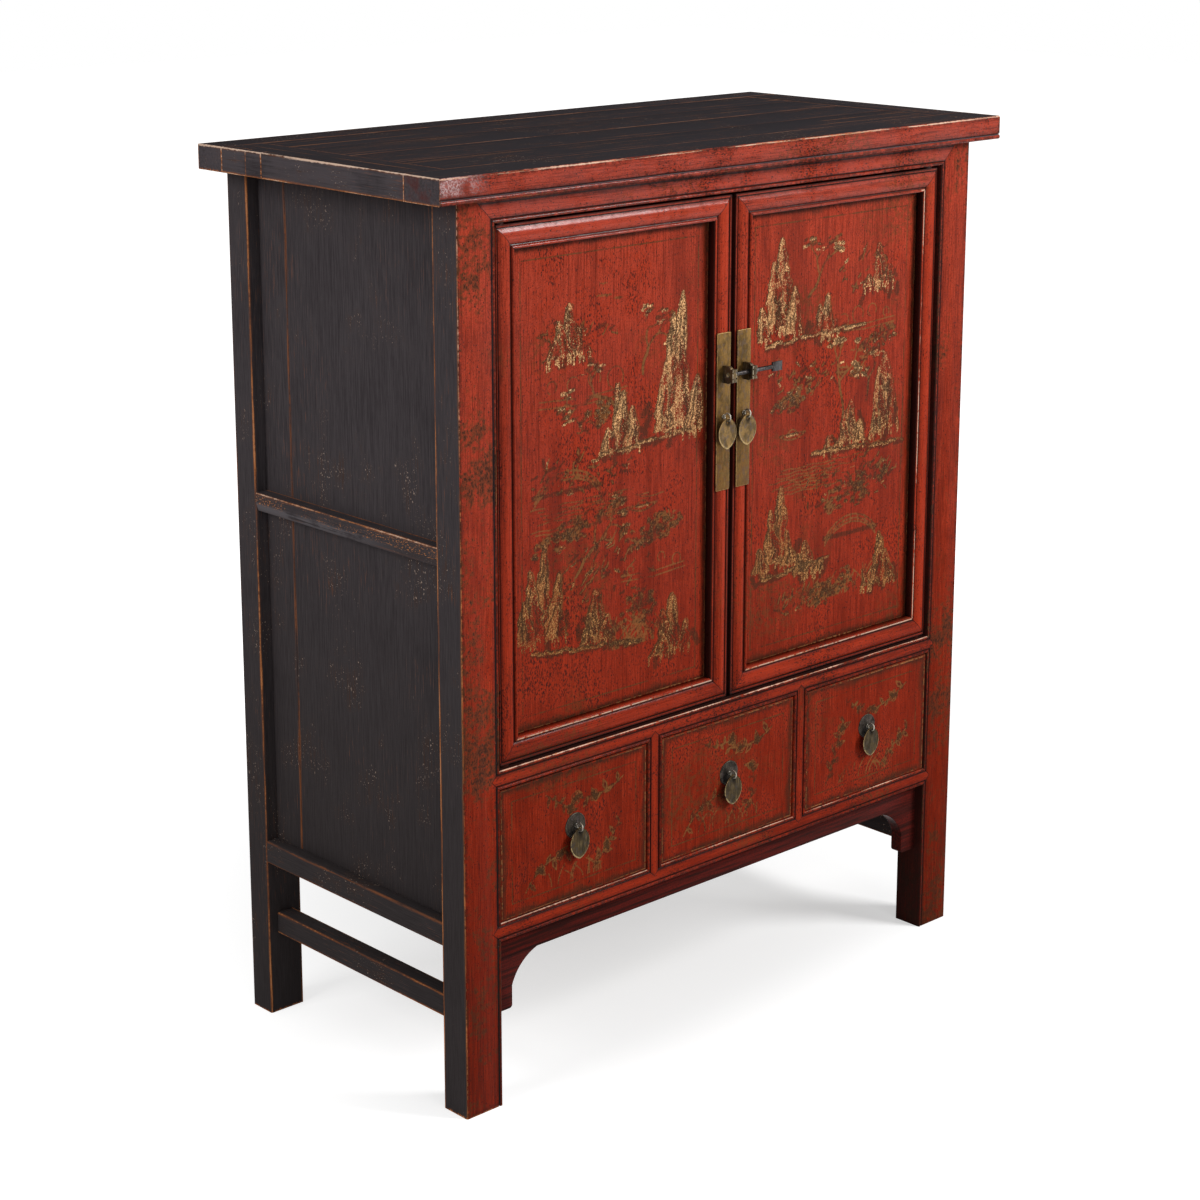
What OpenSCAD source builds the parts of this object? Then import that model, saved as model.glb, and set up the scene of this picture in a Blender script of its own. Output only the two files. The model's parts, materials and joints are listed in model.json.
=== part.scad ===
// Lacquered side cabinet: two doors over three drawers, on four square posts.
// X runs across the front, Y from front to back and Z up. The front faces -Y, and
// the origin is on the floor under the middle of the whole cabinet.

/* [Case] */
// Width over the outer faces of the posts
case_w = 980; // [900:1:1100]
// Depth over the outer faces of the posts
case_d = 482; // [440:1:560]
// Height from the floor to the top surface
total_h = 1254; // [1200:1:1320]
// Clearance round a tenon in its mortise
joint_gap = 0.2; // [0.1:0.05:0.4]
// Gap between two boards laid side by side
board_gap = 0.6; // [0.4:0.1:1.5]
// Depth of the grooves that hold boards and panels
groove_d = 8; // [6:0.5:9]
// Thickness of the glue line between pieces of one assembly
glue_gap = 0.1; // [0.05:0.05:0.2]

/* [Top] */
// Thickness of the top frame
top_t = 34; // [30:1:42]
// Overhang of the top at each side
top_side_overhang = 42; // [20:1:60]
// Overhang of the top at the front
top_front_overhang = 21; // [20:0.5:30]
// Overhang of the top at the back
top_back_overhang = 4; // [1:1:20]
// Depth of the long front rail of the top
top_front_rail_d = 71; // [60:1:90]
// Depth of the long back rail of the top
top_back_rail_d = 55; // [48:1:80]
// Width of the short end rails of the top
top_end_rail_w = 66; // [55:1:80]
// Thickness of the boards in the top
top_board_t = 16; // [13:0.5:20]
// Number of boards in the top
top_board_count = 4; // [2:1:6]
// Thickness of the tongue round the top boards
top_tongue_t = 6; // [4:0.5:7]
// Width of the patch let into the left end rail
patch_w = 36; // [20:1:50]
// Distance of the patch from the joint with the back rail
patch_back = 52; // [30:1:80]
// Depth of the patch into the end rail
patch_d = 14; // [8:1:20]
// Width of each brace under the top boards
brace_w = 40; // [30:1:55]
// Distance from the middle to each brace
brace_x = 210; // [120:5:300]

/* [Posts] */
// Width of a front post, seen from the front
front_post_w = 62; // [58:0.5:70]
// Depth of a front post, seen from the side
front_post_d = 47; // [44:0.5:56]
// Width of a back post, seen from the back
back_post_w = 56; // [52:0.5:66]
// Depth of a back post, seen from the side
back_post_d = 44; // [40:0.5:56]
// Radius of the rounded outer arris of a post
post_arris_r = 2.5; // [1:0.5:5]
// Side of the square tenon on top of a post
post_tenon_w = 22; // [16:1:26]
// Height of the tenon on top of a post
post_tenon_h = 20; // [12:1:24]

/* [Front frame] */
// Height of the top edge of the rail over the drawers
middle_rail_z = 473.5; // [450:0.5:490]
// Height of the rail over the drawers
middle_rail_h = 27; // [24:0.5:32]
// Height of the top edge of the rail under the drawers
bottom_rail_z = 261.5; // [240:0.5:280]
// Height of the rail under the drawers
bottom_rail_h = 27; // [24:0.5:32]
// Height of the rail under the top
top_rail_h = 32; // [28:0.5:38]
// Depth of the front rails from front to back
front_rail_d = 42; // [38:0.5:43]
// Width of the uprights between the drawers
divider_w = 27; // [22:0.5:32]
// Depth of the mitred face of the front frame
mitre_d = 12; // [10:0.5:13]
// Thickness of the tenons of the front rails
front_tenon_t = 12; // [8:0.5:13]
// Length of the tenons of the front rails
front_tenon_len = 28; // [20:1:32]
// Length of the tenons of the uprights
divider_tenon_len = 9; // [5:0.5:10]
// Radius of the bead along the edges of the front frame
bead_r = 2.6; // [1.8:0.1:3.4]
// Width of the sloping side of the groove beside a bead
bead_groove_w = 1.6; // [1:0.1:2.5]
// Depth of the flat field between two beads
field_d = 0.8; // [0.3:0.1:1.5]

/* [Apron] */
// Distance of the apron behind the face of the posts
apron_setback = 15; // [8:0.5:18]
// Thickness of the apron and its brackets
apron_t = 20; // [15:0.5:24]
// Height of the apron under the bottom rail
apron_h = 33; // [24:0.5:45]
// Height of a bracket under the apron
bracket_drop = 75; // [60:1:90]
// Width of a bracket at its foot
bracket_foot_w = 31; // [24:0.5:40]
// Width of a bracket where it meets the apron
bracket_reach = 76; // [66:1:95]
// Height of the straight inner edge of a bracket
bracket_straight = 32; // [20:1:38]
// Radius of the curve of a bracket
bracket_curve_r = 68; // [55:1:90]
// Thickness of the tongue of an apron or bracket
apron_tongue_t = 6; // [4:0.5:9]
// Depth of the tongue of an apron or bracket
apron_tongue_d = 6; // [4:0.5:9]

/* [Sides and back] */
// Distance of the side boards behind the outer face of the posts
side_recess = 20; // [14:0.5:24]
// Thickness of the side boards
side_board_t = 12; // [8:0.5:14]
// Width of the narrow side board beside the back post
side_narrow_w = 58; // [40:1:120]
// Height of the top edge of the middle side rails
side_middle_z = 775.5; // [720:0.5:830]
// Height of the middle side rails
side_middle_h = 26; // [20:0.5:34]
// Depth of the worn bevel on the lower half of the middle side rails
side_middle_bevel = 4; // [1:0.5:7]
// Height of the top edge of the bottom side rails
side_bottom_z = 265; // [245:0.5:285]
// Height of the bottom side rails
side_bottom_h = 32; // [26:0.5:40]
// Thickness of the bottom side rails
side_bottom_t = 40; // [38:0.5:46]
// Thickness of the top side rails, inside the boards
side_top_t = 28; // [22:0.5:29]
// Height of the top edge of the side stretchers
stretcher_z = 152.5; // [120:0.5:180]
// Height of the side stretchers
stretcher_h = 31; // [24:0.5:38]
// Thickness of the side stretchers
stretcher_t = 26; // [20:0.5:32]
// Distance of the stretchers behind the outer face of the posts
stretcher_inset = 15; // [10:0.5:18]
// Thickness of the tenons of the side rails
side_tenon_t = 8; // [6:0.5:10]
// Thickness of the back rails
back_rail_t = 24; // [20:0.5:28]
// Height of each back rail
back_rail_h = 32; // [26:0.5:40]
// Distance of the back rails in front of the back of the posts
back_recess = 4; // [1:0.5:6]
// Thickness of the back boards
back_board_t = 9; // [6:0.5:10]
// Number of back boards beside each other
back_board_count = 5; // [3:1:8]

/* [Inside] */
// Thickness of the cupboard floor and of the case bottom
floor_t = 14; // [10:0.5:17]
// Depth of the ledge that carries a floor
ledge_w = 6; // [4:0.5:6.5]
// Clearance of the floors from posts and side boards
floor_gap = 1; // [0.5:0.1:3]
// Height of the top of the shelf
shelf_z = 826; // [700:1:1000]
// Thickness of the shelf
shelf_t = 16; // [12:0.5:22]
// Distance of the shelf behind the doors
shelf_setback = 30; // [15:1:80]
// Height of the bars that carry the shelf
bearer_h = 24; // [18:1:32]
// Thickness of the bars that carry the shelf
bearer_t = 22; // [16:1:28]
// Height of the bars that guide the drawers
guide_h = 30; // [20:1:60]

/* [Doors] */
// Gap between a door and its post
door_side_gap = 3; // [2.6:0.1:5]
// Gap between the two doors
door_centre_gap = 7.5; // [4:0.5:10]
// Gap over and under a door
door_end_gap = 3.6; // [2:0.1:6]
// Distance of the doors behind the face of the posts
door_recess = 3; // [1:0.5:5]
// Thickness of the doors
door_t = 24; // [22:0.5:28]
// Width of the stiles and rails of a door
door_frame_w = 33; // [30:0.5:40]
// Distance of the door panel behind the front of its frame
panel_recess = 14; // [12:0.5:15]
// Thickness of the door panel
panel_t = 6.5; // [5:0.5:7]
// Clearance between the door panel and the sides of its groove
panel_gap = 0.2; // [0.1:0.1:0.4]
// Radius of the wooden pivots of the doors
pivot_r = 8; // [6:0.5:9]
// Length of each pivot in its socket
pivot_len = 10; // [7:0.5:14]
// Radial clearance of a pivot in its socket
pivot_fit = 0.08; // [0.05:0.01:0.1]
// Distance of the pivot behind the front of the door
pivot_depth = 12; // [11:0.5:13]
// Distance of the pivot from the outer edge of the door
pivot_inset = 14; // [12.5:0.5:15]
// Radius of the outer front arris of a hinge stile
hinge_arris_r = 8; // [7:0.5:10]
// Width of the thin step at the outer edge of the door frame
frame_step_w = 4; // [2:0.5:6]
// Depth of the thin step at the outer edge of the door frame
frame_step_d = 2.2; // [1:0.1:4]
// Rise of the broad round of the door frame
frame_crown = 3; // [1.5:0.1:4]
// Radius of the inner bead of the door frame
frame_bead_r = 2.7; // [2:0.1:3.2]
// Drop of the inner bead behind the top of the broad round
frame_bead_d = 1; // [0:0.1:2]
// Thickness of the tenons of the door rails
door_tenon_t = 6.5; // [5:0.5:8]
// Length of the tenons of the door rails
door_tenon_len = 22; // [16:1:25]

/* [Lock plates] */
// Width of a lock plate
plate_w = 26; // [20:0.5:28]
// Height of a lock plate
plate_h = 220; // [160:1:280]
// Thickness of a lock plate
plate_t = 1.6; // [1:0.1:2.5]
// Height of the middle of the lock plates
plate_z = 888.5; // [800:0.5:950]
// Distance of a plate from the meeting edge of its door
plate_edge = 3; // [1:0.5:4]
// Height of the eye of the lugs over the middle of the plates
lug_rise = 53; // [30:0.5:80]
// Reach of a lug in front of its plate
lug_reach = 21; // [19:0.5:21.5]
// Height of a lug
lug_h = 24; // [20:0.5:30]
// Thickness of a lug
lug_t = 5; // [4:0.5:6]
// Thickness of the notched front of a lug
lug_front_t = 8; // [6:0.5:10]
// Depth of the notched front of a lug
lug_front_d = 5; // [4:0.5:5.5]
// Depth of the notches of a lug
lug_notch_r = 1.4; // [0.8:0.1:2]
// Radial clearance of the lock pin in a lug
pin_clear = 0.7; // [0.4:0.05:1]
// Radius of the lock pin
pin_r = 3; // [2.4:0.1:3.4]
// Length of the round part of the lock pin
pin_len = 80; // [70:1:100]
// Length of the flat grip of the lock pin
grip_len = 18; // [12:0.5:26]
// Height of the flat grip of the lock pin
grip_h = 13; // [9:0.5:18]
// Thickness of the flat grip of the lock pin
grip_t = 2.4; // [1.6:0.1:4]
// Gap between the drawn pin and the left lug
pin_rest_gap = 1; // [0.6:0.1:3]

/* [Pulls] */
// Width of a leaf pull
pull_w = 34; // [26:0.5:38]
// Height of a leaf pull
pull_h = 45; // [36:0.5:56]
// Thickness of a leaf pull
pull_t = 2; // [1.4:0.1:2.6]
// Radius of the hole in a leaf pull
pull_hole_r = 3; // [2.4:0.1:3.6]
// Wood left between the top of a leaf pull and its hole
pull_top_wall = 2.4; // [1.6:0.1:3]
// Radius of the ring of a staple, to the middle of its wire
ring_r = 5.4; // [5.2:0.1:7]
// Radius of the wire of a staple
wire_r = 1.2; // [0.9:0.1:1.5]
// Distance of the ring in front of its plate
ring_stand = 8; // [7.6:0.1:11]
// Height of the door pulls under the middle of the lock plates
door_pull_drop = 6; // [-20:1:30]
// Radius of the round plate of a drawer pull
rose_r = 18; // [14:0.5:24]
// Thickness of the round plate of a drawer pull
rose_t = 1.6; // [1:0.1:2.5]
// Height of the drawer pulls over the bottom of the drawer fronts
drawer_pull_z = 100.5; // [80:0.5:120]

/* [Drawers] */
// Gap at each side of a drawer front
drawer_side_gap = 1.5; // [1:0.1:2.5]
// Gap over a drawer front
drawer_top_gap = 2; // [1:0.1:4]
// Lift of the drawers over the case bottom
drawer_lift = 0.4; // [0.3:0.1:1]
// Distance of the drawer fronts behind the face of the posts
drawer_recess = 2.5; // [1:0.5:4]
// Thickness of the drawer fronts
drawer_front_t = 20; // [16:0.5:24]
// Gap between a drawer and the back boards
drawer_back_gap = 34; // [15:1:110]
// Thickness of the drawer sides and back
drawer_side_t = 10; // [8:0.5:14]
// Height of the drawer sides
drawer_side_h = 158; // [120:1:170]
// Thickness of the drawer bottom
drawer_bottom_t = 7; // [5:0.5:10]
// Distance of the drawer sides inside the ends of the front
drawer_set_in = 2; // [1:0.5:4]
// Depth of the lap that holds a drawer side in the front
drawer_lap = 9; // [6:0.5:12]

/* [Hidden] */
red_lacquer = "#9c2f1f";
dark_red_lacquer = "#5c1c18";
black_lacquer = "#2b2627";
bare_wood = "#8d6b47";
aged_brass = "#7c6a3c";
dark_iron = "#3b3835";
pin_steel = "#7d7f82";
round_fn = 48;
small_fn = 32;
eps = 0.01;
arris_w = 2;

// Planes of the case
half_w = case_w / 2;
open_half = half_w - front_post_w;
face_y = top_front_overhang - (case_d + top_front_overhang + top_back_overhang) / 2;
back_y = face_y + case_d;
front_post_back_y = face_y + front_post_d;
back_post_front_y = back_y - back_post_d;
side_span = back_post_front_y - front_post_back_y;
under_top_z = total_h - top_t;

// Joints of the case
tenon_margin = 5;
tenon_spacing = 1;
front_tenon_shoulder = 4;
front_tenon_y = mitre_d + front_tenon_shoulder;
side_tenon_front = front_post_d - front_tenon_y - front_tenon_t - tenon_spacing;
back_rail_y = back_y - back_recess - back_rail_t;
back_tenon_t = 10;
back_tenon_y = back_rail_y + (back_rail_t - back_tenon_t) / 2;
back_tenon_len = 28;
side_tenon_back = back_tenon_y - back_post_front_y - tenon_spacing;
back_board_y = back_rail_y + (back_rail_t - back_board_t) / 2;
side_bottom_tenon_inset = 6;

// Top
top_half_w = half_w + top_side_overhang;
top_front_y = face_y - top_front_overhang;
top_back_y = back_y + top_back_overhang;
top_field_y0 = top_front_y + top_front_rail_d;
top_field_y1 = top_back_y - top_back_rail_d;
top_field_half = top_half_w - top_end_rail_w;
top_tongue_drop = 1;
top_tongue_z = total_h - (top_board_t + top_tongue_t) / 2 - top_tongue_drop;
top_tenon_len = 26;
top_tenon_t = 8;
top_tenon_z = under_top_z + 10;
top_tenon_shoulder = 12;
top_bead_r = 3.4;
brace_h = top_t - top_board_t;
brace_tenon_len = 10;
brace_tenon_shoulder = 4;

// Front frame
top_rail_z = under_top_z;
bay_w = (2 * open_half - 2 * divider_w) / 3;
bay_pitch = bay_w + divider_w;
drawer_space_h = middle_rail_z - middle_rail_h - bottom_rail_z;
apron_z = bottom_rail_z - bottom_rail_h - apron_h;
apron_tongue_stop = 10;
bracket_tongue_foot = 12;
bracket_tongue_head = 4;
bracket_toe_r = 5;

// Sides
side_board_x = -half_w + side_recess;
side_board_in = side_board_x + side_board_t;
side_board_y0 = front_post_back_y - groove_d;
side_board_y1 = back_post_front_y + groove_d;

// Doors, worked out for the left one
door_x0 = -open_half + door_side_gap;
door_x1 = -door_centre_gap / 2;
door_w = door_x1 - door_x0;
door_z0 = middle_rail_z + door_end_gap;
door_z1 = under_top_z - top_rail_h - door_end_gap;
door_h = door_z1 - door_z0;
door_y = face_y + door_recess;
hinge_x = door_x0 + pivot_inset;
hinge_y = door_y + pivot_depth;
panel_y = door_y + panel_recess;
pivot_end_gap = 1;
pivot_lift = 3;
door_tenon_edge = 6;
door_tenon_web = 4;
door_tenon_h = door_frame_w - door_tenon_edge - groove_d - door_tenon_web;

// Cross-section of the door frame
frame_step_slope = 0.5;
frame_valley_w = 2;
frame_valley_d = frame_crown + 1;
frame_round_w = door_frame_w - frame_step_w - frame_step_slope - frame_valley_w - 2 * frame_bead_r;
frame_round_r = (pow(frame_round_w / 2, 2) + pow(frame_crown, 2)) / (2 * frame_crown);
frame_round_a = asin(frame_round_w / 2 / frame_round_r);

// Lock and pulls, worked out for the left door
plate_x = door_x1 - plate_edge - plate_w / 2;
plate_y = door_y - plate_t;
lug_z = plate_z + lug_rise;
lug_eye_wall = 1.5;
eye_r = pin_r + pin_clear;
eye_depth = lug_reach - lug_front_d - eye_r - lug_eye_wall;
lug_front_margin = 3;
lug_round_r = 6;
lug_tenon_w = 3;
lug_tenon_h = 10;
lug_tenon_len = 12;
shank_r = wire_r + 0.2;
shank_len = 13;
collar_w = 1.6;
collar_r = wire_r + collar_w;
collar_t = 1;
pin_left = plate_x + lug_front_t / 2 + pin_rest_gap;
pin_hole_r = 1;
pin_hole_inset = 6;
grip_root = 1;

// Drawers, worked out for the centre one
drawer_w = bay_w - 2 * drawer_side_gap;
drawer_h = drawer_space_h - drawer_top_gap - drawer_lift;
drawer_y = face_y + drawer_recess;
drawer_len = back_board_y - drawer_back_gap - drawer_y;
drawer_z = bottom_rail_z + drawer_lift;
box_w = drawer_w - 2 * drawer_set_in;
box_inner_half = box_w / 2 - drawer_side_t - glue_gap;
guide_gap = 0.5;

// Points on an arc from angle a0 to a1 round the centre c
function arc(c, r, a0, a1, n = 8) =
    [for (i = [0:n]) let (a = a0 + (a1 - a0) * i / n) c + r * [cos(a), sin(a)]];

// The same outline seen from the other edge of a strip of width w
function flipped(points, w) =
    [for (i = [len(points) - 1:-1:0]) [w - points[i][0], points[i][1]]];

// A bead along one edge and the groove beside it, across and into the wood
function bead_edge() =
    concat(arc([bead_r, bead_r], bead_r, 180, 360), [[2 * bead_r + bead_groove_w, field_d]]);

// Cross-section of a strip with a bead along both edges
function beaded_strip(w, d) =
    concat([[0, d]], bead_edge(), flipped(bead_edge(), w), [[w, d]]);

// Cross-section of a strip with a bead along its first edge only
function single_bead_strip(w, d) =
    concat([[0, d]], bead_edge(), [[w, field_d], [w, d]]);

// Cross-section of a front post, from its outer side to its beaded inner side
function post_section(w, d) =
    concat(
        [[0, d]],
        arc([post_arris_r, post_arris_r + field_d], post_arris_r, 180, 270),
        flipped(bead_edge(), w),
        [[w, d]]
    );

// Cross-section of the door frame, from its outer edge to its inner edge
function frame_section() =
    concat(
        [[0, door_t], [0, frame_step_d]],
        [[frame_step_w - frame_step_slope, frame_step_d], [frame_step_w, frame_valley_d]],
        arc(
            [frame_step_w + frame_step_slope + frame_round_w / 2, frame_round_r],
            frame_round_r, 270 - frame_round_a, 270 + frame_round_a, 12
        ),
        [[door_frame_w - 2 * frame_bead_r - frame_valley_w / 2, frame_valley_d]],
        arc(
            [door_frame_w - frame_bead_r, frame_bead_d + frame_bead_r],
            frame_bead_r, 180, 360
        ),
        [[door_frame_w, door_t]]
    );

// Outline of a leaf pull round the middle of its hole, across and up
leaf_side_r = (pow(pull_h * 0.5, 2) + pow(pull_w * 0.5, 2)) / pull_w;
leaf_side_a = asin(pull_h * 0.5 / leaf_side_r);
function leaf_half() =
    arc([pull_w * 0.5 - leaf_side_r, 0], leaf_side_r, -leaf_side_a, leaf_side_a, 14);

// Runs a flat (up, back) shape along X, centred on the middle of the cabinet
module along_x(length) {
    translate([length / 2, 0, 0])
    rotate([0, -90, 0])
    linear_extrude(length)
    children();
}

// Runs a flat (across, up) shape along Y from y0
module along_y(y0, length) {
    translate([0, y0 + length, 0])
    rotate([90, 0, 0])
    linear_extrude(length)
    children();
}

// A box from its lowest corner to its highest corner
module span(a, b) {
    translate(a)
    cube(b - a);
}

// A post profile of the left side, or its mirror image on the right
module on_right() {
    mirror([1, 0, 0])
    children();
}

module both_sides() {
    children();
    on_right() children();
}

// Outline of a front rail with pointed ends that run into the posts
module pointed_outline(z0, h) {
    polygon([
        [-open_half, z0], [-open_half - h / 2, z0 + h / 2], [-open_half, z0 + h],
        [open_half, z0 + h], [open_half + h / 2, z0 + h / 2], [open_half, z0]
    ]);
}

// Outline of the rail under the top, mitred at 45 degrees to the posts
module mitred_outline() {
    z0 = top_rail_z - top_rail_h;
    polygon([
        [-open_half, z0], [-open_half - top_rail_h, top_rail_z],
        [open_half + top_rail_h, top_rail_z], [open_half, z0]
    ]);
}

// Outline of an upright between two drawers, with a point at each end
module divider_outline(x) {
    z0 = bottom_rail_z;
    z1 = bottom_rail_z + drawer_space_h;
    w = divider_w / 2;
    polygon([
        [x - w, z0], [x, z0 - w], [x + w, z0], [x + w, z1], [x, z1 + w], [x - w, z1]
    ]);
}

// The mitred faces of the three front rails, as the posts see them
module front_faces() {
    along_y(face_y - eps, mitre_d + eps) pointed_outline(
        middle_rail_z - middle_rail_h, middle_rail_h
    );
    along_y(face_y - eps, mitre_d + eps) pointed_outline(
        bottom_rail_z - bottom_rail_h, bottom_rail_h
    );
    along_y(face_y - eps, mitre_d + eps) mitred_outline();
}

// A through bar that makes the tenons at both ends of a front rail
module front_tenons(z0, h, gap = 0) {
    x = open_half + front_tenon_len + gap;
    y = face_y + front_tenon_y;
    span(
        [-x, y - gap, z0 + tenon_margin - gap],
        [x, y + front_tenon_t + gap, z0 + h - tenon_margin + gap]
    );
}

// The tenons of all three front rails, with clearance for their mortises
module front_mortises() {
    front_tenons(middle_rail_z - middle_rail_h, middle_rail_h, joint_gap);
    front_tenons(bottom_rail_z - bottom_rail_h, bottom_rail_h, joint_gap);
    front_tenons(top_rail_z - top_rail_h, top_rail_h - tenon_margin, joint_gap);
}

// A through bar that makes the tenons at both ends of a left side rail
module side_tenons(x0, z0, h, gap = 0) {
    span(
        [x0 - gap, front_post_back_y - side_tenon_front - gap, z0 + tenon_margin - gap],
        [
            x0 + side_tenon_t + gap,
            back_post_front_y + side_tenon_back + gap,
            z0 + h - tenon_margin + gap
        ]
    );
}

side_top_tenon_x = side_board_in + (side_top_t - side_tenon_t) / 2;
side_middle_tenon_x = -half_w + (side_recess - side_tenon_t) / 2;
side_bottom_tenon_x = -half_w + side_bottom_tenon_inset;
stretcher_tenon_x = -half_w + stretcher_inset + (stretcher_t - side_tenon_t) / 2;

// The mortises for the tenons of all left side rails
module side_mortises() {
    g = joint_gap;
    side_tenons(side_top_tenon_x, top_rail_z - top_rail_h, top_rail_h, g);
    side_tenons(side_middle_tenon_x, side_middle_z - side_middle_h, side_middle_h, g);
    side_tenons(side_bottom_tenon_x, side_bottom_z - side_bottom_h, side_bottom_h, g);
    side_tenons(stretcher_tenon_x, stretcher_z - stretcher_h, stretcher_h, g);
}

// A bar that makes the tenons at both ends of a back rail
module back_tenons(z0, gap = 0) {
    x = half_w - back_post_w + back_tenon_len + gap;
    span(
        [-x, back_tenon_y - gap, z0 + tenon_margin - gap],
        [x, back_tenon_y + back_tenon_t + gap, z0 + back_rail_h - tenon_margin + gap]
    );
}

back_rail_zs = [
    bottom_rail_z - back_rail_h, middle_rail_z - back_rail_h, top_rail_z - back_rail_h
];

// The space that the left side boards fill, with their tongues in the posts
module side_board_space(gap = 0) {
    span(
        [side_board_x - gap, side_board_y0 - gap, side_bottom_z - groove_d],
        [side_board_in + gap, side_board_y1 + gap, under_top_z]
    );
}

// The space that the back boards fill between two heights
module back_board_space(z0, z1, gap = 0) {
    x = half_w - back_post_w + groove_d + gap;
    span([-x, back_board_y - gap, z0], [x, back_board_y + back_board_t + gap, z1]);
}

module all_back_board_spaces(gap = 0) {
    back_board_space(back_rail_zs[0] + back_rail_h - groove_d, back_rail_zs[1] + groove_d, gap);
    back_board_space(back_rail_zs[1] + back_rail_h - groove_d, back_rail_zs[2] + groove_d, gap);
}

// The tenon on top of a left post, which holds the top in place
module post_top_tenon(x0, w, y0, d, gap = 0) {
    a = post_tenon_w / 2 + gap;
    span(
        [x0 + w / 2 - a, y0 + d / 2 - a, under_top_z - eps],
        [x0 + w / 2 + a, y0 + d / 2 + a, under_top_z + post_tenon_h + gap]
    );
}

module front_post_tenon(gap = 0) {
    post_top_tenon(-half_w, front_post_w, face_y, front_post_d, gap);
}

module back_post_tenon(gap = 0) {
    post_top_tenon(-half_w, back_post_w, back_post_front_y, back_post_d, gap);
}

// The tongue of the left bracket in the front post
module bracket_tongue(gap = 0) {
    y = face_y + apron_setback + (apron_t - apron_tongue_t) / 2;
    span(
        [
            -open_half - apron_tongue_d - gap, y - gap,
            apron_z - bracket_drop + bracket_tongue_foot - gap
        ],
        [-open_half + eps, y + apron_tongue_t + gap, apron_z - bracket_tongue_head + gap]
    );
}

module front_post() {
    difference() {
        union() {
            translate([-half_w, face_y, 0])
            linear_extrude(under_top_z)
            polygon(post_section(front_post_w, front_post_d));
            front_post_tenon();
        }
        front_faces();
        front_mortises();
        side_mortises();
        side_board_space(joint_gap / 2);
        bracket_tongue(joint_gap);
    }
}

module front_left_post() {
    color(red_lacquer) front_post();
}

module front_right_post() {
    color(red_lacquer) on_right() front_post();
}

module back_post() {
    difference() {
        union() {
            translate([-half_w, back_post_front_y, 0])
            linear_extrude(under_top_z)
            polygon(concat(
                arc([post_arris_r, post_arris_r], post_arris_r, 180, 270),
                [[back_post_w, 0], [back_post_w, back_post_d]],
                arc([post_arris_r, back_post_d - post_arris_r], post_arris_r, 90, 180)
            ));
            back_post_tenon();
        }
        for (z = back_rail_zs) back_tenons(z, joint_gap);
        side_mortises();
        side_board_space(joint_gap / 2);
        all_back_board_spaces(joint_gap / 2);
    }
}

module back_left_post() {
    color(black_lacquer) back_post();
}

module back_right_post() {
    color(black_lacquer) on_right() back_post();
}

// Mitred or pointed face layer of a front rail, with its beaded profile
module rail_face(z0, section) {
    intersection() {
        translate([0, face_y, z0])
        along_x(2 * half_w)
        polygon(section);
        along_y(face_y - eps, mitre_d + 2 * eps) children();
    }
}

module rail_core(z0, h) {
    span([-open_half, face_y + mitre_d, z0], [open_half, face_y + front_rail_d, z0 + h]);
}

// The space that the pointed ends and the tenons of the uprights take in the rails
module divider_joints() {
    for (side = [-1, 1]) {
        x = side * bay_pitch / 2;
        along_y(face_y - eps, mitre_d + eps) divider_outline(x);
        divider_tenon(x, joint_gap);
    }
}

module divider_tenon(x, gap = 0) {
    w = divider_w / 2 - tenon_margin + gap;
    y = face_y + front_tenon_y;
    span(
        [x - w, y - gap, bottom_rail_z - divider_tenon_len - gap],
        [
            x + w, y + front_tenon_t + gap,
            bottom_rail_z + drawer_space_h + divider_tenon_len + gap
        ]
    );
}

// The ledge that carries the front edge of a floor
module front_ledge(z) {
    span(
        [-half_w, face_y + front_rail_d - ledge_w, z - floor_t],
        [half_w, face_y + front_rail_d + eps, z + eps]
    );
}

module pivot_socket(z0, z1) {
    for (side = [-1, 1])
        translate([side * hinge_x, hinge_y, z0])
        cylinder(r = pivot_r + pivot_fit, h = z1 - z0, $fn = round_fn);
}

module front_top_rail() {
    z0 = top_rail_z - top_rail_h;
    color(red_lacquer) difference() {
        union() {
            rail_face(z0, single_bead_strip(top_rail_h, mitre_d)) mitred_outline();
            rail_core(z0, top_rail_h);
            front_tenons(z0, top_rail_h - tenon_margin);
        }
        pivot_socket(z0 - eps, door_z1 + pivot_len + pivot_lift);
    }
}

module front_middle_rail() {
    z0 = middle_rail_z - middle_rail_h;
    color(red_lacquer) difference() {
        union() {
            rail_face(z0, beaded_strip(middle_rail_h, mitre_d))
                pointed_outline(z0, middle_rail_h);
            rail_core(z0, middle_rail_h);
            front_tenons(z0, middle_rail_h);
        }
        divider_joints();
        front_ledge(middle_rail_z);
        pivot_socket(door_z0 - pivot_len - pivot_end_gap, middle_rail_z + eps);
    }
}

module front_bottom_rail() {
    z0 = bottom_rail_z - bottom_rail_h;
    color(red_lacquer) difference() {
        union() {
            rail_face(z0, beaded_strip(bottom_rail_h, mitre_d))
                pointed_outline(z0, bottom_rail_h);
            rail_core(z0, bottom_rail_h);
            front_tenons(z0, bottom_rail_h);
        }
        divider_joints();
        front_ledge(bottom_rail_z);
        apron_tongue(joint_gap);
    }
}

module drawer_dividers() {
    color(red_lacquer)
    for (side = [-1, 1]) {
        x = side * bay_pitch / 2;
        intersection() {
            translate([x - divider_w / 2, face_y, 0])
            linear_extrude(total_h)
            polygon(beaded_strip(divider_w, mitre_d));
            along_y(face_y - eps, mitre_d + 2 * eps) divider_outline(x);
        }
        span(
            [x - divider_w / 2, face_y + mitre_d, bottom_rail_z],
            [x + divider_w / 2, face_y + front_rail_d, bottom_rail_z + drawer_space_h]
        );
        divider_tenon(x);
    }
}

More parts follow.
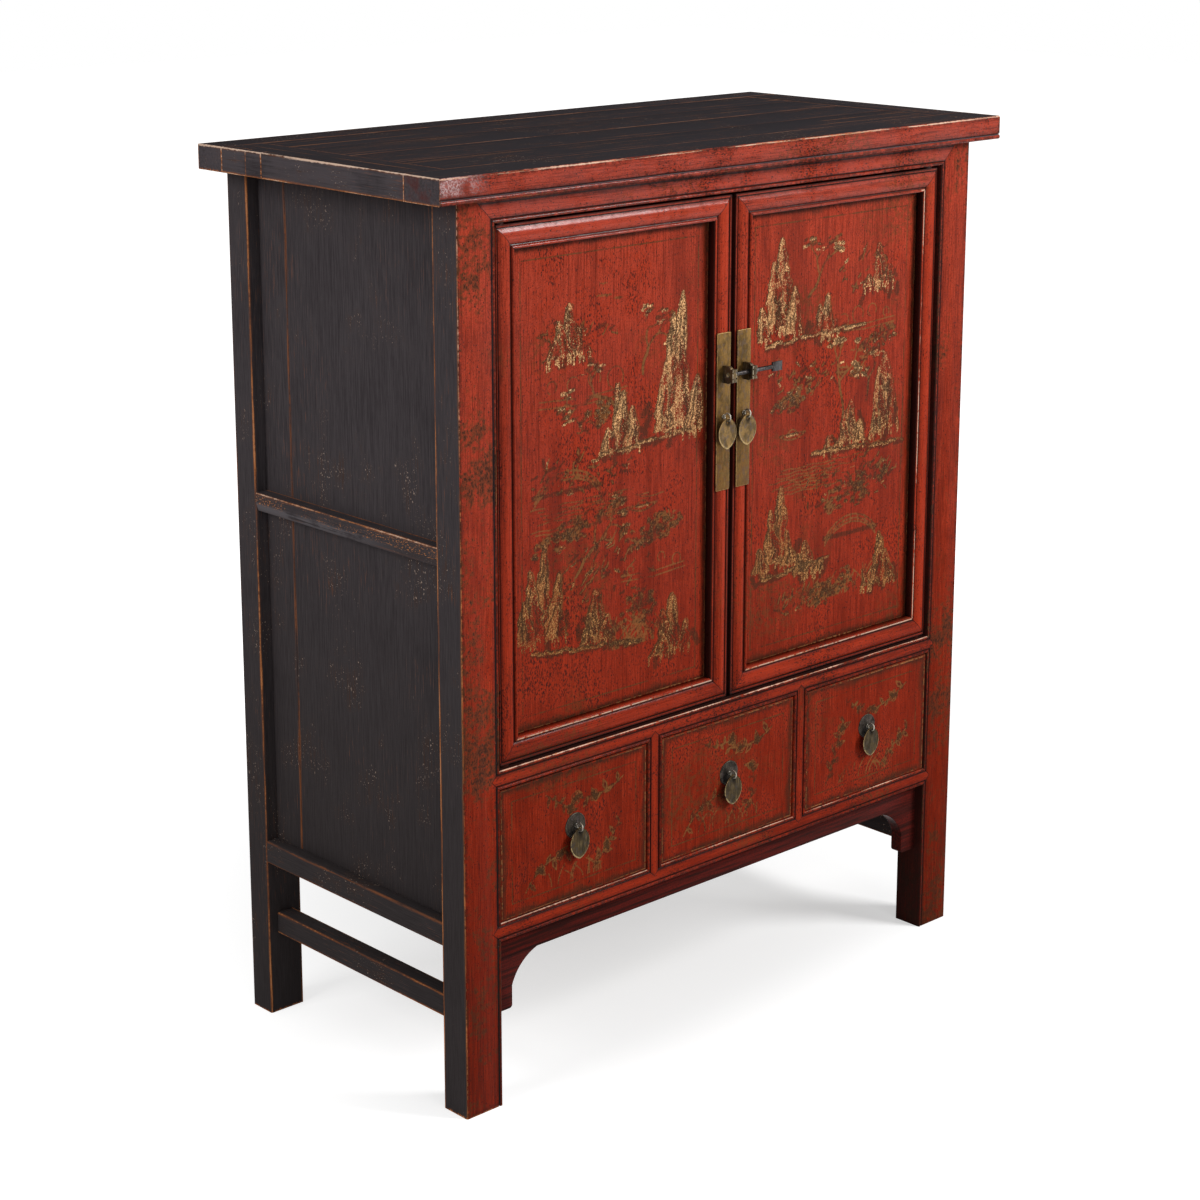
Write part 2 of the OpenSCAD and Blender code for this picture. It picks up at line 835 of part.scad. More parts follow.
// The tongue of the apron in the underside of the bottom rail
module apron_tongue(gap = 0) {
    y = face_y + apron_setback + (apron_t - apron_tongue_t) / 2;
    z = apron_z + apron_h;
    x = open_half - apron_tongue_stop + gap;
    span([-x, y - gap, z - eps], [x, y + apron_tongue_t + gap, z + apron_tongue_d + gap]);
}

module front_apron() {
    color(dark_red_lacquer) union() {
        span(
            [-open_half, face_y + apron_setback, apron_z],
            [open_half, face_y + apron_setback + apron_t, apron_z + apron_h]
        );
        apron_tongue();
    }
}

// Centre of the curve through the top of the straight edge and the end of the reach
bracket_a = [bracket_foot_w, bracket_straight];
bracket_b = [bracket_reach, bracket_drop];
bracket_mid = (bracket_a + bracket_b) / 2;
bracket_run = bracket_b - bracket_a;
bracket_out = [bracket_run[1], -bracket_run[0]] / norm(bracket_run);
bracket_centre = bracket_mid
    + bracket_out * sqrt(pow(bracket_curve_r, 2) - pow(norm(bracket_run) / 2, 2));
bracket_a0 = 180 + atan2(bracket_centre[1] - bracket_a[1], bracket_centre[0] - bracket_a[0]);
bracket_a1 = 180 + atan2(bracket_centre[1] - bracket_b[1], bracket_centre[0] - bracket_b[0]);

module apron_bracket() {
    color(dark_red_lacquer) union() {
        along_y(face_y + apron_setback, apron_t)
        translate([-open_half, apron_z - bracket_drop])
        polygon(concat(
            [[0, bracket_drop], [0, 0]],
            arc([bracket_foot_w - bracket_toe_r, bracket_toe_r], bracket_toe_r, 270, 360, 6),
            arc(bracket_centre, bracket_curve_r, bracket_a0, bracket_a1 - 360 * floor(
                (bracket_a1 - bracket_a0 + 180) / 360), 12)
        ));
        bracket_tongue();
    }
}

module left_apron_bracket() {
    apron_bracket();
}

module right_apron_bracket() {
    on_right() apron_bracket();
}

// The tenons at both ends of the end rails of the top
module top_tenons(gap = 0) {
    for (side = [-1, 1]) {
        x = side * (top_half_w - top_end_rail_w / 2);
        w = top_end_rail_w / 2 - top_tenon_shoulder + gap;
        span(
            [x - w, top_field_y0 - top_tenon_len - gap, top_tenon_z - gap],
            [x + w, top_field_y1 + top_tenon_len + gap, top_tenon_z + top_tenon_t + gap]
        );
    }
}

// The tongues of the top boards in the frame
module top_tongue(gap = 0) {
    span(
        [
            -top_field_half - groove_d - gap, top_field_y0 - groove_d - gap,
            top_tongue_z - gap
        ],
        [
            top_field_half + groove_d + gap, top_field_y1 + groove_d + gap,
            top_tongue_z + top_tongue_t + gap
        ]
    );
}

// The tenons at both ends of the braces under the top boards
module brace_bars(gap = 0) {
    e = brace_tenon_shoulder - gap;
    for (side = [-1, 1]) {
        x = side * brace_x;
        span(
            [x - brace_w / 4 - gap, top_field_y0 - brace_tenon_len - gap, under_top_z + e],
            [x + brace_w / 4 + gap, top_field_y1 + brace_tenon_len + gap, under_top_z + brace_h - e]
        );
    }
}

// Cross-section of the front rail of the top: a bead along the lower front edge
function top_front_section() =
    concat(
        [[0, top_front_rail_d]],
        arc([top_bead_r, top_bead_r], top_bead_r, 180, 360),
        [
            [2 * top_bead_r + bead_groove_w, field_d], [top_t - arris_w, field_d],
            [top_t, field_d + arris_w], [top_t, top_front_rail_d]
        ]
    );

module top_front_rail() {
    color(red_lacquer) difference() {
        translate([0, top_front_y, under_top_z])
        along_x(2 * top_half_w)
        polygon(top_front_section());
        both_sides() front_post_tenon(joint_gap);
        top_tenons(joint_gap);
        top_tongue(joint_gap / 2);
        brace_bars(joint_gap);
    }
}

module top_back_rail() {
    color(black_lacquer) difference() {
        span([-top_half_w, top_field_y1, under_top_z], [top_half_w, top_back_y, total_h]);
        both_sides() back_post_tenon(joint_gap);
        top_tenons(joint_gap);
        top_tongue(joint_gap / 2);
        brace_bars(joint_gap);
    }
}

module top_end_rail() {
    difference() {
        union() {
            span(
                [-top_half_w, top_field_y0, under_top_z],
                [-top_field_half, top_field_y1, total_h]
            );
            intersection() {
                top_tenons();
                span([-top_half_w, top_front_y, 0], [0, top_back_y, total_h]);
            }
        }
        top_tongue(joint_gap / 2);
    }
}

// The patch in the left end rail, or with a gap the notch that it sits in
module rail_patch(gap = 0) {
    y1 = top_field_y1 - patch_back;
    span(
        [-top_half_w, y1 - patch_w - gap, under_top_z],
        [-top_half_w + patch_d + gap, y1 + gap, total_h]
    );
}

module top_left_rail() {
    color(black_lacquer) {
        difference() {
            top_end_rail();
            rail_patch(glue_gap);
        }
        rail_patch();
    }
}

module top_right_rail() {
    color(black_lacquer) on_right() top_end_rail();
}

module top_boards() {
    board_d = (top_field_y1 - top_field_y0) / top_board_count;
    color(black_lacquer) difference() {
        union() {
            span(
                [-top_field_half, top_field_y0, total_h - top_board_t],
                [top_field_half, top_field_y1, total_h]
            );
            top_tongue();
        }
        for (i = [1:top_board_count - 1])
            translate([0, top_field_y0 + i * board_d, total_h - top_board_t])
            cube([2 * top_half_w, board_gap, 4 * top_board_t], center = true);
    }
}

module top_braces() {
    color(bare_wood)
    for (side = [-1, 1]) {
        x = side * brace_x;
        union() {
            span(
                [x - brace_w / 2, top_field_y0, under_top_z],
                [x + brace_w / 2, top_field_y1, under_top_z + brace_h]
            );
            intersection() {
                brace_bars();
                span([x - brace_w, top_front_y, 0], [x + brace_w, top_back_y, total_h]);
            }
        }
    }
}

module side_top_rails() {
    z0 = top_rail_z - top_rail_h;
    color(bare_wood) both_sides() union() {
        span(
            [side_board_in, front_post_back_y, z0],
            [side_board_in + side_top_t, back_post_front_y, top_rail_z]
        );
        side_tenons(side_top_tenon_x, z0, top_rail_h);
    }
}

module side_middle_rails() {
    z0 = side_middle_z - side_middle_h;
    color(black_lacquer) both_sides() union() {
        along_y(front_post_back_y, side_span)
        polygon([
            [-half_w + side_middle_bevel, z0], [-half_w, z0 + side_middle_h * 0.45],
            [-half_w, side_middle_z - arris_w], [-half_w + arris_w, side_middle_z],
            [side_board_x, side_middle_z], [side_board_x, z0]
        ]);
        side_tenons(side_middle_tenon_x, z0, side_middle_h);
    }
}

module side_bottom_rails() {
    z0 = side_bottom_z - side_bottom_h;
    color(black_lacquer) both_sides() difference() {
        union() {
            along_y(front_post_back_y, side_span)
            polygon([
                [-half_w, z0], [-half_w, side_bottom_z - arris_w],
                [-half_w + arris_w, side_bottom_z],
                [-half_w + side_bottom_t, side_bottom_z], [-half_w + side_bottom_t, z0]
            ]);
            side_tenons(side_bottom_tenon_x, z0, side_bottom_h);
        }
        side_board_space(joint_gap / 2);
    }
}

module side_stretchers() {
    z0 = stretcher_z - stretcher_h;
    x0 = -half_w + stretcher_inset;
    color(black_lacquer) both_sides() union() {
        along_y(front_post_back_y, side_span)
        polygon([
            [x0, z0], [x0, stretcher_z - arris_w], [x0 + arris_w, stretcher_z],
            [x0 + stretcher_t, stretcher_z], [x0 + stretcher_t, z0]
        ]);
        side_tenons(stretcher_tenon_x, z0, stretcher_h);
    }
}

module side_boards() {
    joint_y = back_post_front_y - side_narrow_w;
    difference() {
        side_board_space();
        span(
            [-half_w, joint_y - board_gap / 2, 0],
            [0, joint_y + board_gap / 2, total_h]
        );
    }
}

module left_side_boards() {
    color(black_lacquer) side_boards();
}

module right_side_boards() {
    color(black_lacquer) on_right() side_boards();
}

module back_rails() {
    x = half_w - back_post_w;
    color(black_lacquer)
    for (z = back_rail_zs)
        difference() {
            union() {
                span([-x, back_rail_y, z], [x, back_rail_y + back_rail_t, z + back_rail_h]);
                back_tenons(z);
            }
            all_back_board_spaces(joint_gap / 2);
            floor_space(middle_rail_z);
            floor_space(bottom_rail_z);
        }
}

module back_boards() {
    w = 2 * (half_w - back_post_w) / back_board_count;
    color(black_lacquer) difference() {
        all_back_board_spaces();
        for (i = [1:back_board_count - 1])
            translate([-half_w + back_post_w + i * w, back_board_y, total_h / 2])
            cube([board_gap, 4 * back_board_t, total_h], center = true);
    }
}

// The slab that a floor of the case fills, from the front ledge to the back ledge
module floor_space(z) {
    span(
        [-half_w, face_y + front_rail_d - ledge_w, z - floor_t],
        [half_w, back_rail_y + ledge_w, z]
    );
}

// A floor, cut clear of the posts and of the side boards
module case_floor(z) {
    x = -side_board_in - floor_gap;
    difference() {
        intersection() {
            floor_space(z);
            span([-x, face_y, 0], [x, back_y, total_h]);
        }
        both_sides() {
            span(
                [-half_w, face_y, 0],
                [-open_half + floor_gap, front_post_back_y + floor_gap, total_h]
            );
            span(
                [-half_w, back_post_front_y - floor_gap, 0],
                [-half_w + back_post_w + floor_gap, back_y, total_h]
            );
        }
    }
}

module cupboard_floor() {
    color(bare_wood) case_floor(middle_rail_z);
}

module case_bottom() {
    color(bare_wood) difference() {
        case_floor(bottom_rail_z);
        both_sides() span(
            [-half_w, face_y, 0],
            [-half_w + side_bottom_t + floor_gap, back_y, total_h]
        );
    }
}

module shelf_bearers() {
    color(bare_wood) both_sides() span(
        [side_board_in, front_post_back_y, shelf_z - shelf_t - bearer_h],
        [side_board_in + bearer_t, back_post_front_y, shelf_z - shelf_t]
    );
}

module shelf() {
    x = -side_board_in - floor_gap;
    y0 = max(door_y + door_t + shelf_setback, front_post_back_y + floor_gap);
    color(bare_wood) span(
        [-x, y0, shelf_z - shelf_t],
        [x, back_post_front_y - floor_gap, shelf_z]
    );
}

module drawer_guides() {
    y0 = face_y + front_rail_d;
    inner = bay_w * 1.5 + divider_w + guide_gap;
    color(bare_wood) {
        for (side = [-1, 1]) {
            x = side * bay_pitch / 2;
            span(
                [x - divider_w / 2 + guide_gap, y0, bottom_rail_z],
                [x + divider_w / 2 - guide_gap, back_rail_y, bottom_rail_z + guide_h]
            );
        }
        both_sides() span(
            [-half_w + side_bottom_t + 2 * floor_gap, front_post_back_y, bottom_rail_z],
            [-inner, back_post_front_y, bottom_rail_z + guide_h]
        );
    }
}

// Door frame, worked out for the left door
module door_run(length) {
    linear_extrude(length) polygon(frame_section());
}

// Front outline of a door stile from its outer edge, mitred at both ends
module stile_outline() {
    w = door_frame_w;
    polygon([[0, 0], [w, w], [w, door_h - w], [0, door_h]]);
}

// Front outline of a door rail from its outer edge, mitred at both ends
module rail_outline() {
    w = door_frame_w;
    polygon([[0, 0], [door_w, 0], [door_w - w, w], [w, w]]);
}

module left_stile_blank() {
    translate([door_x0, 0, door_z0]) intersection() {
        translate([0, door_y, 0]) door_run(door_h);
        along_y(door_y - eps, door_t + 2 * eps) stile_outline();
    }
}

module meeting_stile_blank() {
    translate([door_x0 + door_x1, 0, 0]) mirror([1, 0, 0]) left_stile_blank();
}

module door_rail_blank() {
    translate([door_x0, 0, door_z0]) intersection() {
        translate([door_w / 2, door_y, 0]) along_x(door_w) polygon(frame_section());
        along_y(door_y - eps, door_t + 2 * eps) rail_outline();
    }
}

// Through bars that make the tenons of the door rails
module door_tenons(gap = 0) {
    for (z = [door_z0 + door_tenon_edge, door_z1 - door_tenon_edge - door_tenon_h])
        span(
            [door_x0 + door_frame_w - door_tenon_len - gap, panel_y - gap, z - gap],
            [
                door_x1 - door_frame_w + door_tenon_len + gap,
                panel_y + door_tenon_t + gap, z + door_tenon_h + gap
            ]
        );
}

// The space of the door panel, which stands on the bottom of its groove
module door_panel_space(gap = 0) {
    w = door_frame_w - groove_d;
    span(
        [door_x0 + w - gap, panel_y - gap, door_z0 + w],
        [door_x1 - w + gap, panel_y + panel_t + gap, door_z1 - w + gap]
    );
}

// The wooden pivots at the top and bottom of a hinge stile
module pivots(gap = 0) {
    translate([hinge_x, hinge_y, 0]) {
        translate([0, 0, door_z0 - pivot_len])
        cylinder(r = pivot_r + gap, h = door_frame_w + pivot_len, $fn = round_fn);
        translate([0, 0, door_z1 - door_frame_w])
        cylinder(r = pivot_r + gap, h = door_frame_w + pivot_len, $fn = round_fn);
    }
}

// What is cut from the outer front arris of a hinge stile so that it can turn
module hinge_arris() {
    r = hinge_arris_r;
    translate([door_x0, door_y, door_z0 - r]) difference() {
        translate([-r, -r, 0]) cube([2 * r, 2 * r, door_h + 2 * r]);
        translate([r, r, -r]) cylinder(r = r, h = door_h + 4 * r, $fn = round_fn);
    }
}

module door_hinge_stile() {
    color(red_lacquer) difference() {
        union() {
            left_stile_blank();
            pivots();
        }
        door_tenons(joint_gap);
        door_panel_space(panel_gap);
        hinge_arris();
    }
}

module door_meeting_stile() {
    color(red_lacquer) difference() {
        meeting_stile_blank();
        door_tenons(joint_gap);
        door_panel_space(panel_gap);
        lug_tenon(joint_gap);
        translate([plate_x, 0, plate_z - door_pull_drop]) staple_shank(joint_gap);
    }
}

module door_rail(bottom) {
    difference() {
        union() {
            if (bottom) {
                door_rail_blank();
            } else {
                translate([0, 0, door_z0 + door_z1]) mirror([0, 0, 1]) door_rail_blank();
            }
            intersection() {
                door_tenons();
                z0 = bottom ? door_z0 : door_z1 - door_frame_w;
                span([-half_w, face_y, z0], [half_w, back_y, z0 + door_frame_w]);
            }
        }
        pivots(joint_gap);
        door_panel_space(panel_gap);
        hinge_arris();
    }
}

module door_panel() {
    color(red_lacquer) door_panel_space();
}

module lug_tenon(gap = 0) {
    span(
        [plate_x - lug_tenon_w / 2 - gap, plate_y - eps, lug_z - lug_tenon_h / 2 - gap],
        [
            plate_x + lug_tenon_w / 2 + gap, plate_y + lug_tenon_len + gap,
            lug_z + lug_tenon_h / 2 + gap
        ]
    );
}

module lock_plate() {
    color(aged_brass) {
        difference() {
            span(
                [plate_x - plate_w / 2, plate_y, plate_z - plate_h / 2],
                [plate_x + plate_w / 2, door_y, plate_z + plate_h / 2]
            );
            lug_tenon(joint_gap);
            translate([plate_x, 0, plate_z - door_pull_drop]) staple_shank(joint_gap);
        }
    }
    translate([plate_x, 0, plate_z - door_pull_drop]) staple();
}

// A lug: a round-topped tab across the plate with a notched front and an eye
module lock_lug() {
    back = lug_reach - lug_front_d;
    color(aged_brass) difference() {
        union() {
            translate([plate_x - lug_t / 2, plate_y, lug_z])
            rotate([90, 0, 90])
            linear_extrude(lug_t)
            polygon(concat(
                [[0, -lug_h / 2], [0, lug_h / 2]],
                arc([-back + lug_round_r, lug_h / 2 - lug_round_r], lug_round_r, 90, 180),
                arc([-back + lug_round_r, -lug_h / 2 + lug_round_r], lug_round_r, 180, 270)
            ));
            span(
                [
                    plate_x - lug_front_t / 2, plate_y - lug_reach,
                    lug_z - lug_h / 2 + lug_front_margin
                ],
                [plate_x + lug_front_t / 2, plate_y - back, lug_z + lug_h / 2 - lug_front_margin]
            );
            lug_tenon();
        }
        translate([0, plate_y - eye_depth, lug_z])
        rotate([0, 90, 0])
        cylinder(r = eye_r, h = 4 * half_w, center = true, $fn = round_fn);
        for (dz = [-lug_h / 6, lug_h / 6], side = [-1, 1])
            translate([plate_x + side * lug_front_t / 2, plate_y - lug_reach, lug_z + dz])
            cylinder(r = lug_notch_r, h = 2, center = true, $fn = small_fn);
    }
}

// The lock pin, drawn to the right just clear of the left lug
module lock_pin() {
    color(pin_steel) difference() {
        union() {
            translate([pin_left, plate_y - eye_depth, lug_z])
            rotate([0, 90, 0])
            cylinder(r = pin_r, h = pin_len, $fn = round_fn);
            translate([
                pin_left + pin_len - grip_root, plate_y - eye_depth - grip_t / 2,
                lug_z - grip_h / 2
            ])
            cube([grip_len + grip_root, grip_t, grip_h]);
        }
        translate([pin_left + pin_hole_inset, plate_y - eye_depth, lug_z])
        rotate([90, 0, 0])
        cylinder(r = pin_hole_r, h = 4 * pin_r, center = true, $fn = small_fn);
    }
}

// The shank of a staple behind the face of its plate, on the axis of the pull
module staple_shank(gap = 0) {
    translate([0, plate_y + shank_len + gap, 0])
    rotate([90, 0, 0])
    cylinder(r = shank_r + gap, h = shank_len + gap + eps, $fn = small_fn);
}

// A staple: ring, neck, collar on the plate and shank through it
module staple() {
    neck = ring_stand - ring_r;
    color(aged_brass) union() {
        translate([0, plate_y - ring_stand, 0])
        rotate([0, 90, 0])
        rotate_extrude($fn = round_fn)
        translate([ring_r, 0])
        circle(r = wire_r, $fn = small_fn);
        translate([0, plate_y, 0])
        rotate([90, 0, 0])
        cylinder(r = wire_r, h = neck, $fn = small_fn);
        translate([0, plate_y - glue_gap, 0])
        rotate([90, 0, 0])
        cylinder(r = collar_r, h = collar_t, $fn = small_fn);
        staple_shank();
    }
}

// A leaf pull that hangs in its staple; its hole sits on the lowest part of the ring
module leaf_pull() {
    top = pull_h / 2;
    hole_z = top - pull_top_wall - pull_hole_r;
    color(aged_brass)
    translate([0, plate_y - ring_stand, -ring_r - hole_z])
    rotate([90, 0, 0])
    linear_extrude(pull_t, center = true)
    difference() {
        polygon(concat(leaf_half(), [for (p = leaf_half()) -p]));
        translate([0, hole_z]) circle(r = pull_hole_r, $fn = round_fn);
    }
}

module door_pull() {
    translate([plate_x, 0, plate_z - door_pull_drop]) leaf_pull();
}

// Moves the parts of a pull from the face of a door to the face of a drawer
module on_drawer_face(i) {
    translate([i * bay_pitch, drawer_y - rose_t - plate_y, drawer_z + drawer_pull_z]) children();
}

// Drawers: i is -1 for the left one, 0 for the centre one and 1 for the right one
module drawer_front(i) {
    color(red_lacquer) difference() {
        translate([i * bay_pitch, 0, 0])
        span(
            [-drawer_w / 2, drawer_y, drawer_z],
            [drawer_w / 2, drawer_y + drawer_front_t, drawer_z + drawer_h]
        );
        drawer_sides(i, drawer_front_t);
        drawer_bottom(i);
        on_drawer_face(i) staple_shank(joint_gap);
    }
}

// The two sides, lapped into the front; extra widens the cut for the laps outwards
module drawer_sides(i, extra = 0) {
    translate([i * bay_pitch, 0, 0])
    both_sides() span(
        [-box_w / 2 - extra, drawer_y + drawer_front_t - drawer_lap, drawer_z],
        [-box_w / 2 + drawer_side_t, drawer_y + drawer_len, drawer_z + drawer_side_h]
    );
}

module drawer_bottom(i) {
    translate([i * bay_pitch, 0, 0])
    span(
        [-box_inner_half, drawer_y + drawer_front_t - drawer_lap, drawer_z],
        [box_inner_half, drawer_y + drawer_len, drawer_z + drawer_bottom_t]
    );
}

module drawer_box(i) {
    color(bare_wood) {
        drawer_sides(i);
        drawer_bottom(i);
        translate([i * bay_pitch, 0, 0])
        span(
            [
                -box_inner_half, drawer_y + drawer_len - drawer_side_t,
                drawer_z + drawer_bottom_t + glue_gap
            ],
            [box_inner_half, drawer_y + drawer_len, drawer_z + drawer_side_h]
        );
    }
}

module drawer_rose(i) {
    on_drawer_face(i) {
        color(dark_iron) difference() {
            translate([0, plate_y + rose_t, 0])
            rotate([90, 0, 0])
            cylinder(r = rose_r, h = rose_t, $fn = round_fn);
            staple_shank(joint_gap);
        }
        staple();
    }
}

module drawer_pull(i) {
    on_drawer_face(i) leaf_pull();
}

top_front_rail();
top_back_rail();
top_left_rail();
top_right_rail();
top_boards();
top_braces();
front_left_post();
front_right_post();
back_left_post();
back_right_post();
front_top_rail();
front_middle_rail();
front_bottom_rail();
drawer_dividers();
front_apron();
left_apron_bracket();
right_apron_bracket();
side_top_rails();
side_middle_rails();
side_bottom_rails();
side_stretchers();
left_side_boards();
right_side_boards();
back_rails();
back_boards();
cupboard_floor();
case_bottom();
shelf();
shelf_bearers();
drawer_guides();
door_hinge_stile();  // left_door_hinge_stile
door_meeting_stile();  // left_door_meeting_stile
color(red_lacquer) door_rail(false);  // left_door_top_rail
color(red_lacquer) door_rail(true);  // left_door_bottom_rail
door_panel();  // left_door_panel
lock_plate();  // left_lock_plate
lock_lug();  // left_lock_lug
door_pull();  // left_door_pull
on_right() door_hinge_stile();  // right_door_hinge_stile
on_right() door_meeting_stile();  // right_door_meeting_stile
on_right() color(red_lacquer) door_rail(false);  // right_door_top_rail
on_right() color(red_lacquer) door_rail(true);  // right_door_bottom_rail
on_right() door_panel();  // right_door_panel
on_right() lock_plate();  // right_lock_plate
on_right() lock_lug();  // right_lock_lug
on_right() door_pull();  // right_door_pull
lock_pin();
drawer_front(-1);  // left_drawer_front
drawer_box(-1);  // left_drawer_box
drawer_rose(-1);  // left_drawer_rose
drawer_pull(-1);  // left_drawer_pull
drawer_front(0);  // centre_drawer_front
drawer_box(0);  // centre_drawer_box
drawer_rose(0);  // centre_drawer_rose
drawer_pull(0);  // centre_drawer_pull
drawer_front(1);  // right_drawer_front
drawer_box(1);  // right_drawer_box
drawer_rose(1);  // right_drawer_rose
drawer_pull(1);  // right_drawer_pull
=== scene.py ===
"""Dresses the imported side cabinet: worn lacquered wood, painted doors and old brass fittings.

Every length is in metres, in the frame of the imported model: X across the front, Y from the
front to the back and Z up, with the origin on the floor under the middle of the cabinet.
"""

import json
import logging
import math
import random
import zlib
from dataclasses import dataclass, field
from enum import Enum
from typing import Any, Iterable, Sequence

import bmesh
import bpy
import numpy as np
from mathutils import Matrix, Vector

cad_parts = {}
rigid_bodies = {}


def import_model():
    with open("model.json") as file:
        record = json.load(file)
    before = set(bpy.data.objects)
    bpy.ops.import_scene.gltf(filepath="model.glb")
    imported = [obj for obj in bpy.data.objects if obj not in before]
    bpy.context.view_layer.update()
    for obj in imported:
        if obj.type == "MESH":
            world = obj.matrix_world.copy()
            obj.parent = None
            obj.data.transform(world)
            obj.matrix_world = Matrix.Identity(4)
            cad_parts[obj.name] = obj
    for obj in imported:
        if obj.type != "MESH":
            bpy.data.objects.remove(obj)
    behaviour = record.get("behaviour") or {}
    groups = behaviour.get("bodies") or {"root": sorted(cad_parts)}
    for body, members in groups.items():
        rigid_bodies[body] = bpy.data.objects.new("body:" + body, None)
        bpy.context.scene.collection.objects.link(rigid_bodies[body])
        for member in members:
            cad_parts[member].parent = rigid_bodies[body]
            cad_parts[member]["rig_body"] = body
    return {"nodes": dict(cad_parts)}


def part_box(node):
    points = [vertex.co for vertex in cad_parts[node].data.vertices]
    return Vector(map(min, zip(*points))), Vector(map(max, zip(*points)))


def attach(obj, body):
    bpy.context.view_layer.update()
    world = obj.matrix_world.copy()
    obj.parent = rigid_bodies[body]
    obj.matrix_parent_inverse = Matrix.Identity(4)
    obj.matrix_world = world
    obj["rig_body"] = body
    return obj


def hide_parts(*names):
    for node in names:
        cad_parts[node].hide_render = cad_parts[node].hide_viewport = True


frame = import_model()
log = logging.getLogger("cabinet")

MM = 0.001
# Widths, heights and depths that several pieces or coverings share
JOINT = 1 * MM
SEAM = (1.0 * MM, 0.3 * MM)
BEAD = 5.9 * MM
SILL_H = 60 * MM
RAGGED = 3 * MM
EYE_RIM = 2.4 * MM
EYE_R = 3.0 * MM
SHEET = 1.6 * MM
# Points nearer than WELD are one; smaller angles than FLAT are flat, larger than SHARP sharp
WELD = 2e-6
FLAT = math.radians(0.6)
SHARP = math.radians(40)
SIDES = ("left", "right")
DRAWERS = ("left", "centre", "right")
DOOR_SEEDS = (11, 23)
DRAWER_SEED = 31
Colour = tuple[float, float, float]
Point = tuple[float, float, float]


class Wire:
    """One socket of a node tree, which takes part in plain arithmetic."""

    def __init__(self, tree: "Tree", socket: bpy.types.NodeSocket) -> None:
        """Keeps the tree and the socket."""
        self.tree = tree
        self.socket = socket

    def _math(self, operation: str, *values: Any) -> "Wire":
        """Adds a Math node on the given values."""
        inputs = dict(enumerate(values))
        return self.tree.node("ShaderNodeMath", {"operation": operation}, inputs)

    def __add__(self, other: Any) -> "Wire":
        """Sum."""
        return self._math("ADD", self, other)

    def __sub__(self, other: Any) -> "Wire":
        """Difference."""
        return self._math("SUBTRACT", self, other)

    def __rsub__(self, other: Any) -> "Wire":
        """Difference from a number."""
        return self._math("SUBTRACT", other, self)

    def __mul__(self, other: Any) -> "Wire":
        """Product."""
        return self._math("MULTIPLY", self, other)

    def __truediv__(self, other: Any) -> "Wire":
        """Quotient."""
        return self._math("DIVIDE", self, other)

    __radd__ = __add__
    __rmul__ = __mul__

    def size(self) -> "Wire":
        """Distance from zero."""
        return self._math("ABSOLUTE", self)

    def least(self, other: Any) -> "Wire":
        """Smaller of two values."""
        return self._math("MINIMUM", self, other)

    def most(self, other: Any) -> "Wire":
        """Larger of two values."""
        return self._math("MAXIMUM", self, other)

    def band(self, start: float, end: float) -> "Wire":
        """Smooth rise from 0 at start to 1 at end, or a fall where end is the smaller.

        Args:
            start: value that gives 0.
            end: value that gives 1.

        Returns:
            The eased value.
        """
        low, high, rise = min(start, end), max(start, end), start < end
        return self.tree.node(
            "ShaderNodeMapRange",
            {"interpolation_type": "SMOOTHSTEP"},
            {0: self, 1: low, 2: high, 3: 0.0 if rise else 1.0, 4: 1.0 if rise else 0.0},
        )


class Tree:
    """A node tree with one way to add a node."""

    def __init__(self, tree: bpy.types.NodeTree) -> None:
        """Keeps the tree that nodes are added to."""
        self.tree = tree

    def node(
        self, kind: str, settings: dict[str, Any], inputs: dict[Any, Any], output: Any = 0
    ) -> Wire:
        """Adds one node.

        Args:
            kind: type of the node.
            settings: its properties, set first.
            inputs: values or wires for its sockets, by index or name.
            output: index or name of the socket that is returned.

        Returns:
            The chosen output.
        """
        made = self.tree.nodes.new(kind)
        for key, value in settings.items():
            setattr(made, key, value)
        for key, value in inputs.items():
            socket = made.inputs[key]
            if isinstance(value, Wire):
                self.tree.links.new(value.socket, socket)
            elif isinstance(value, tuple) and socket.type == "RGBA":
                socket.default_value = (*value, 1.0)
            else:
                socket.default_value = value
        return Wire(self, made.outputs[output])


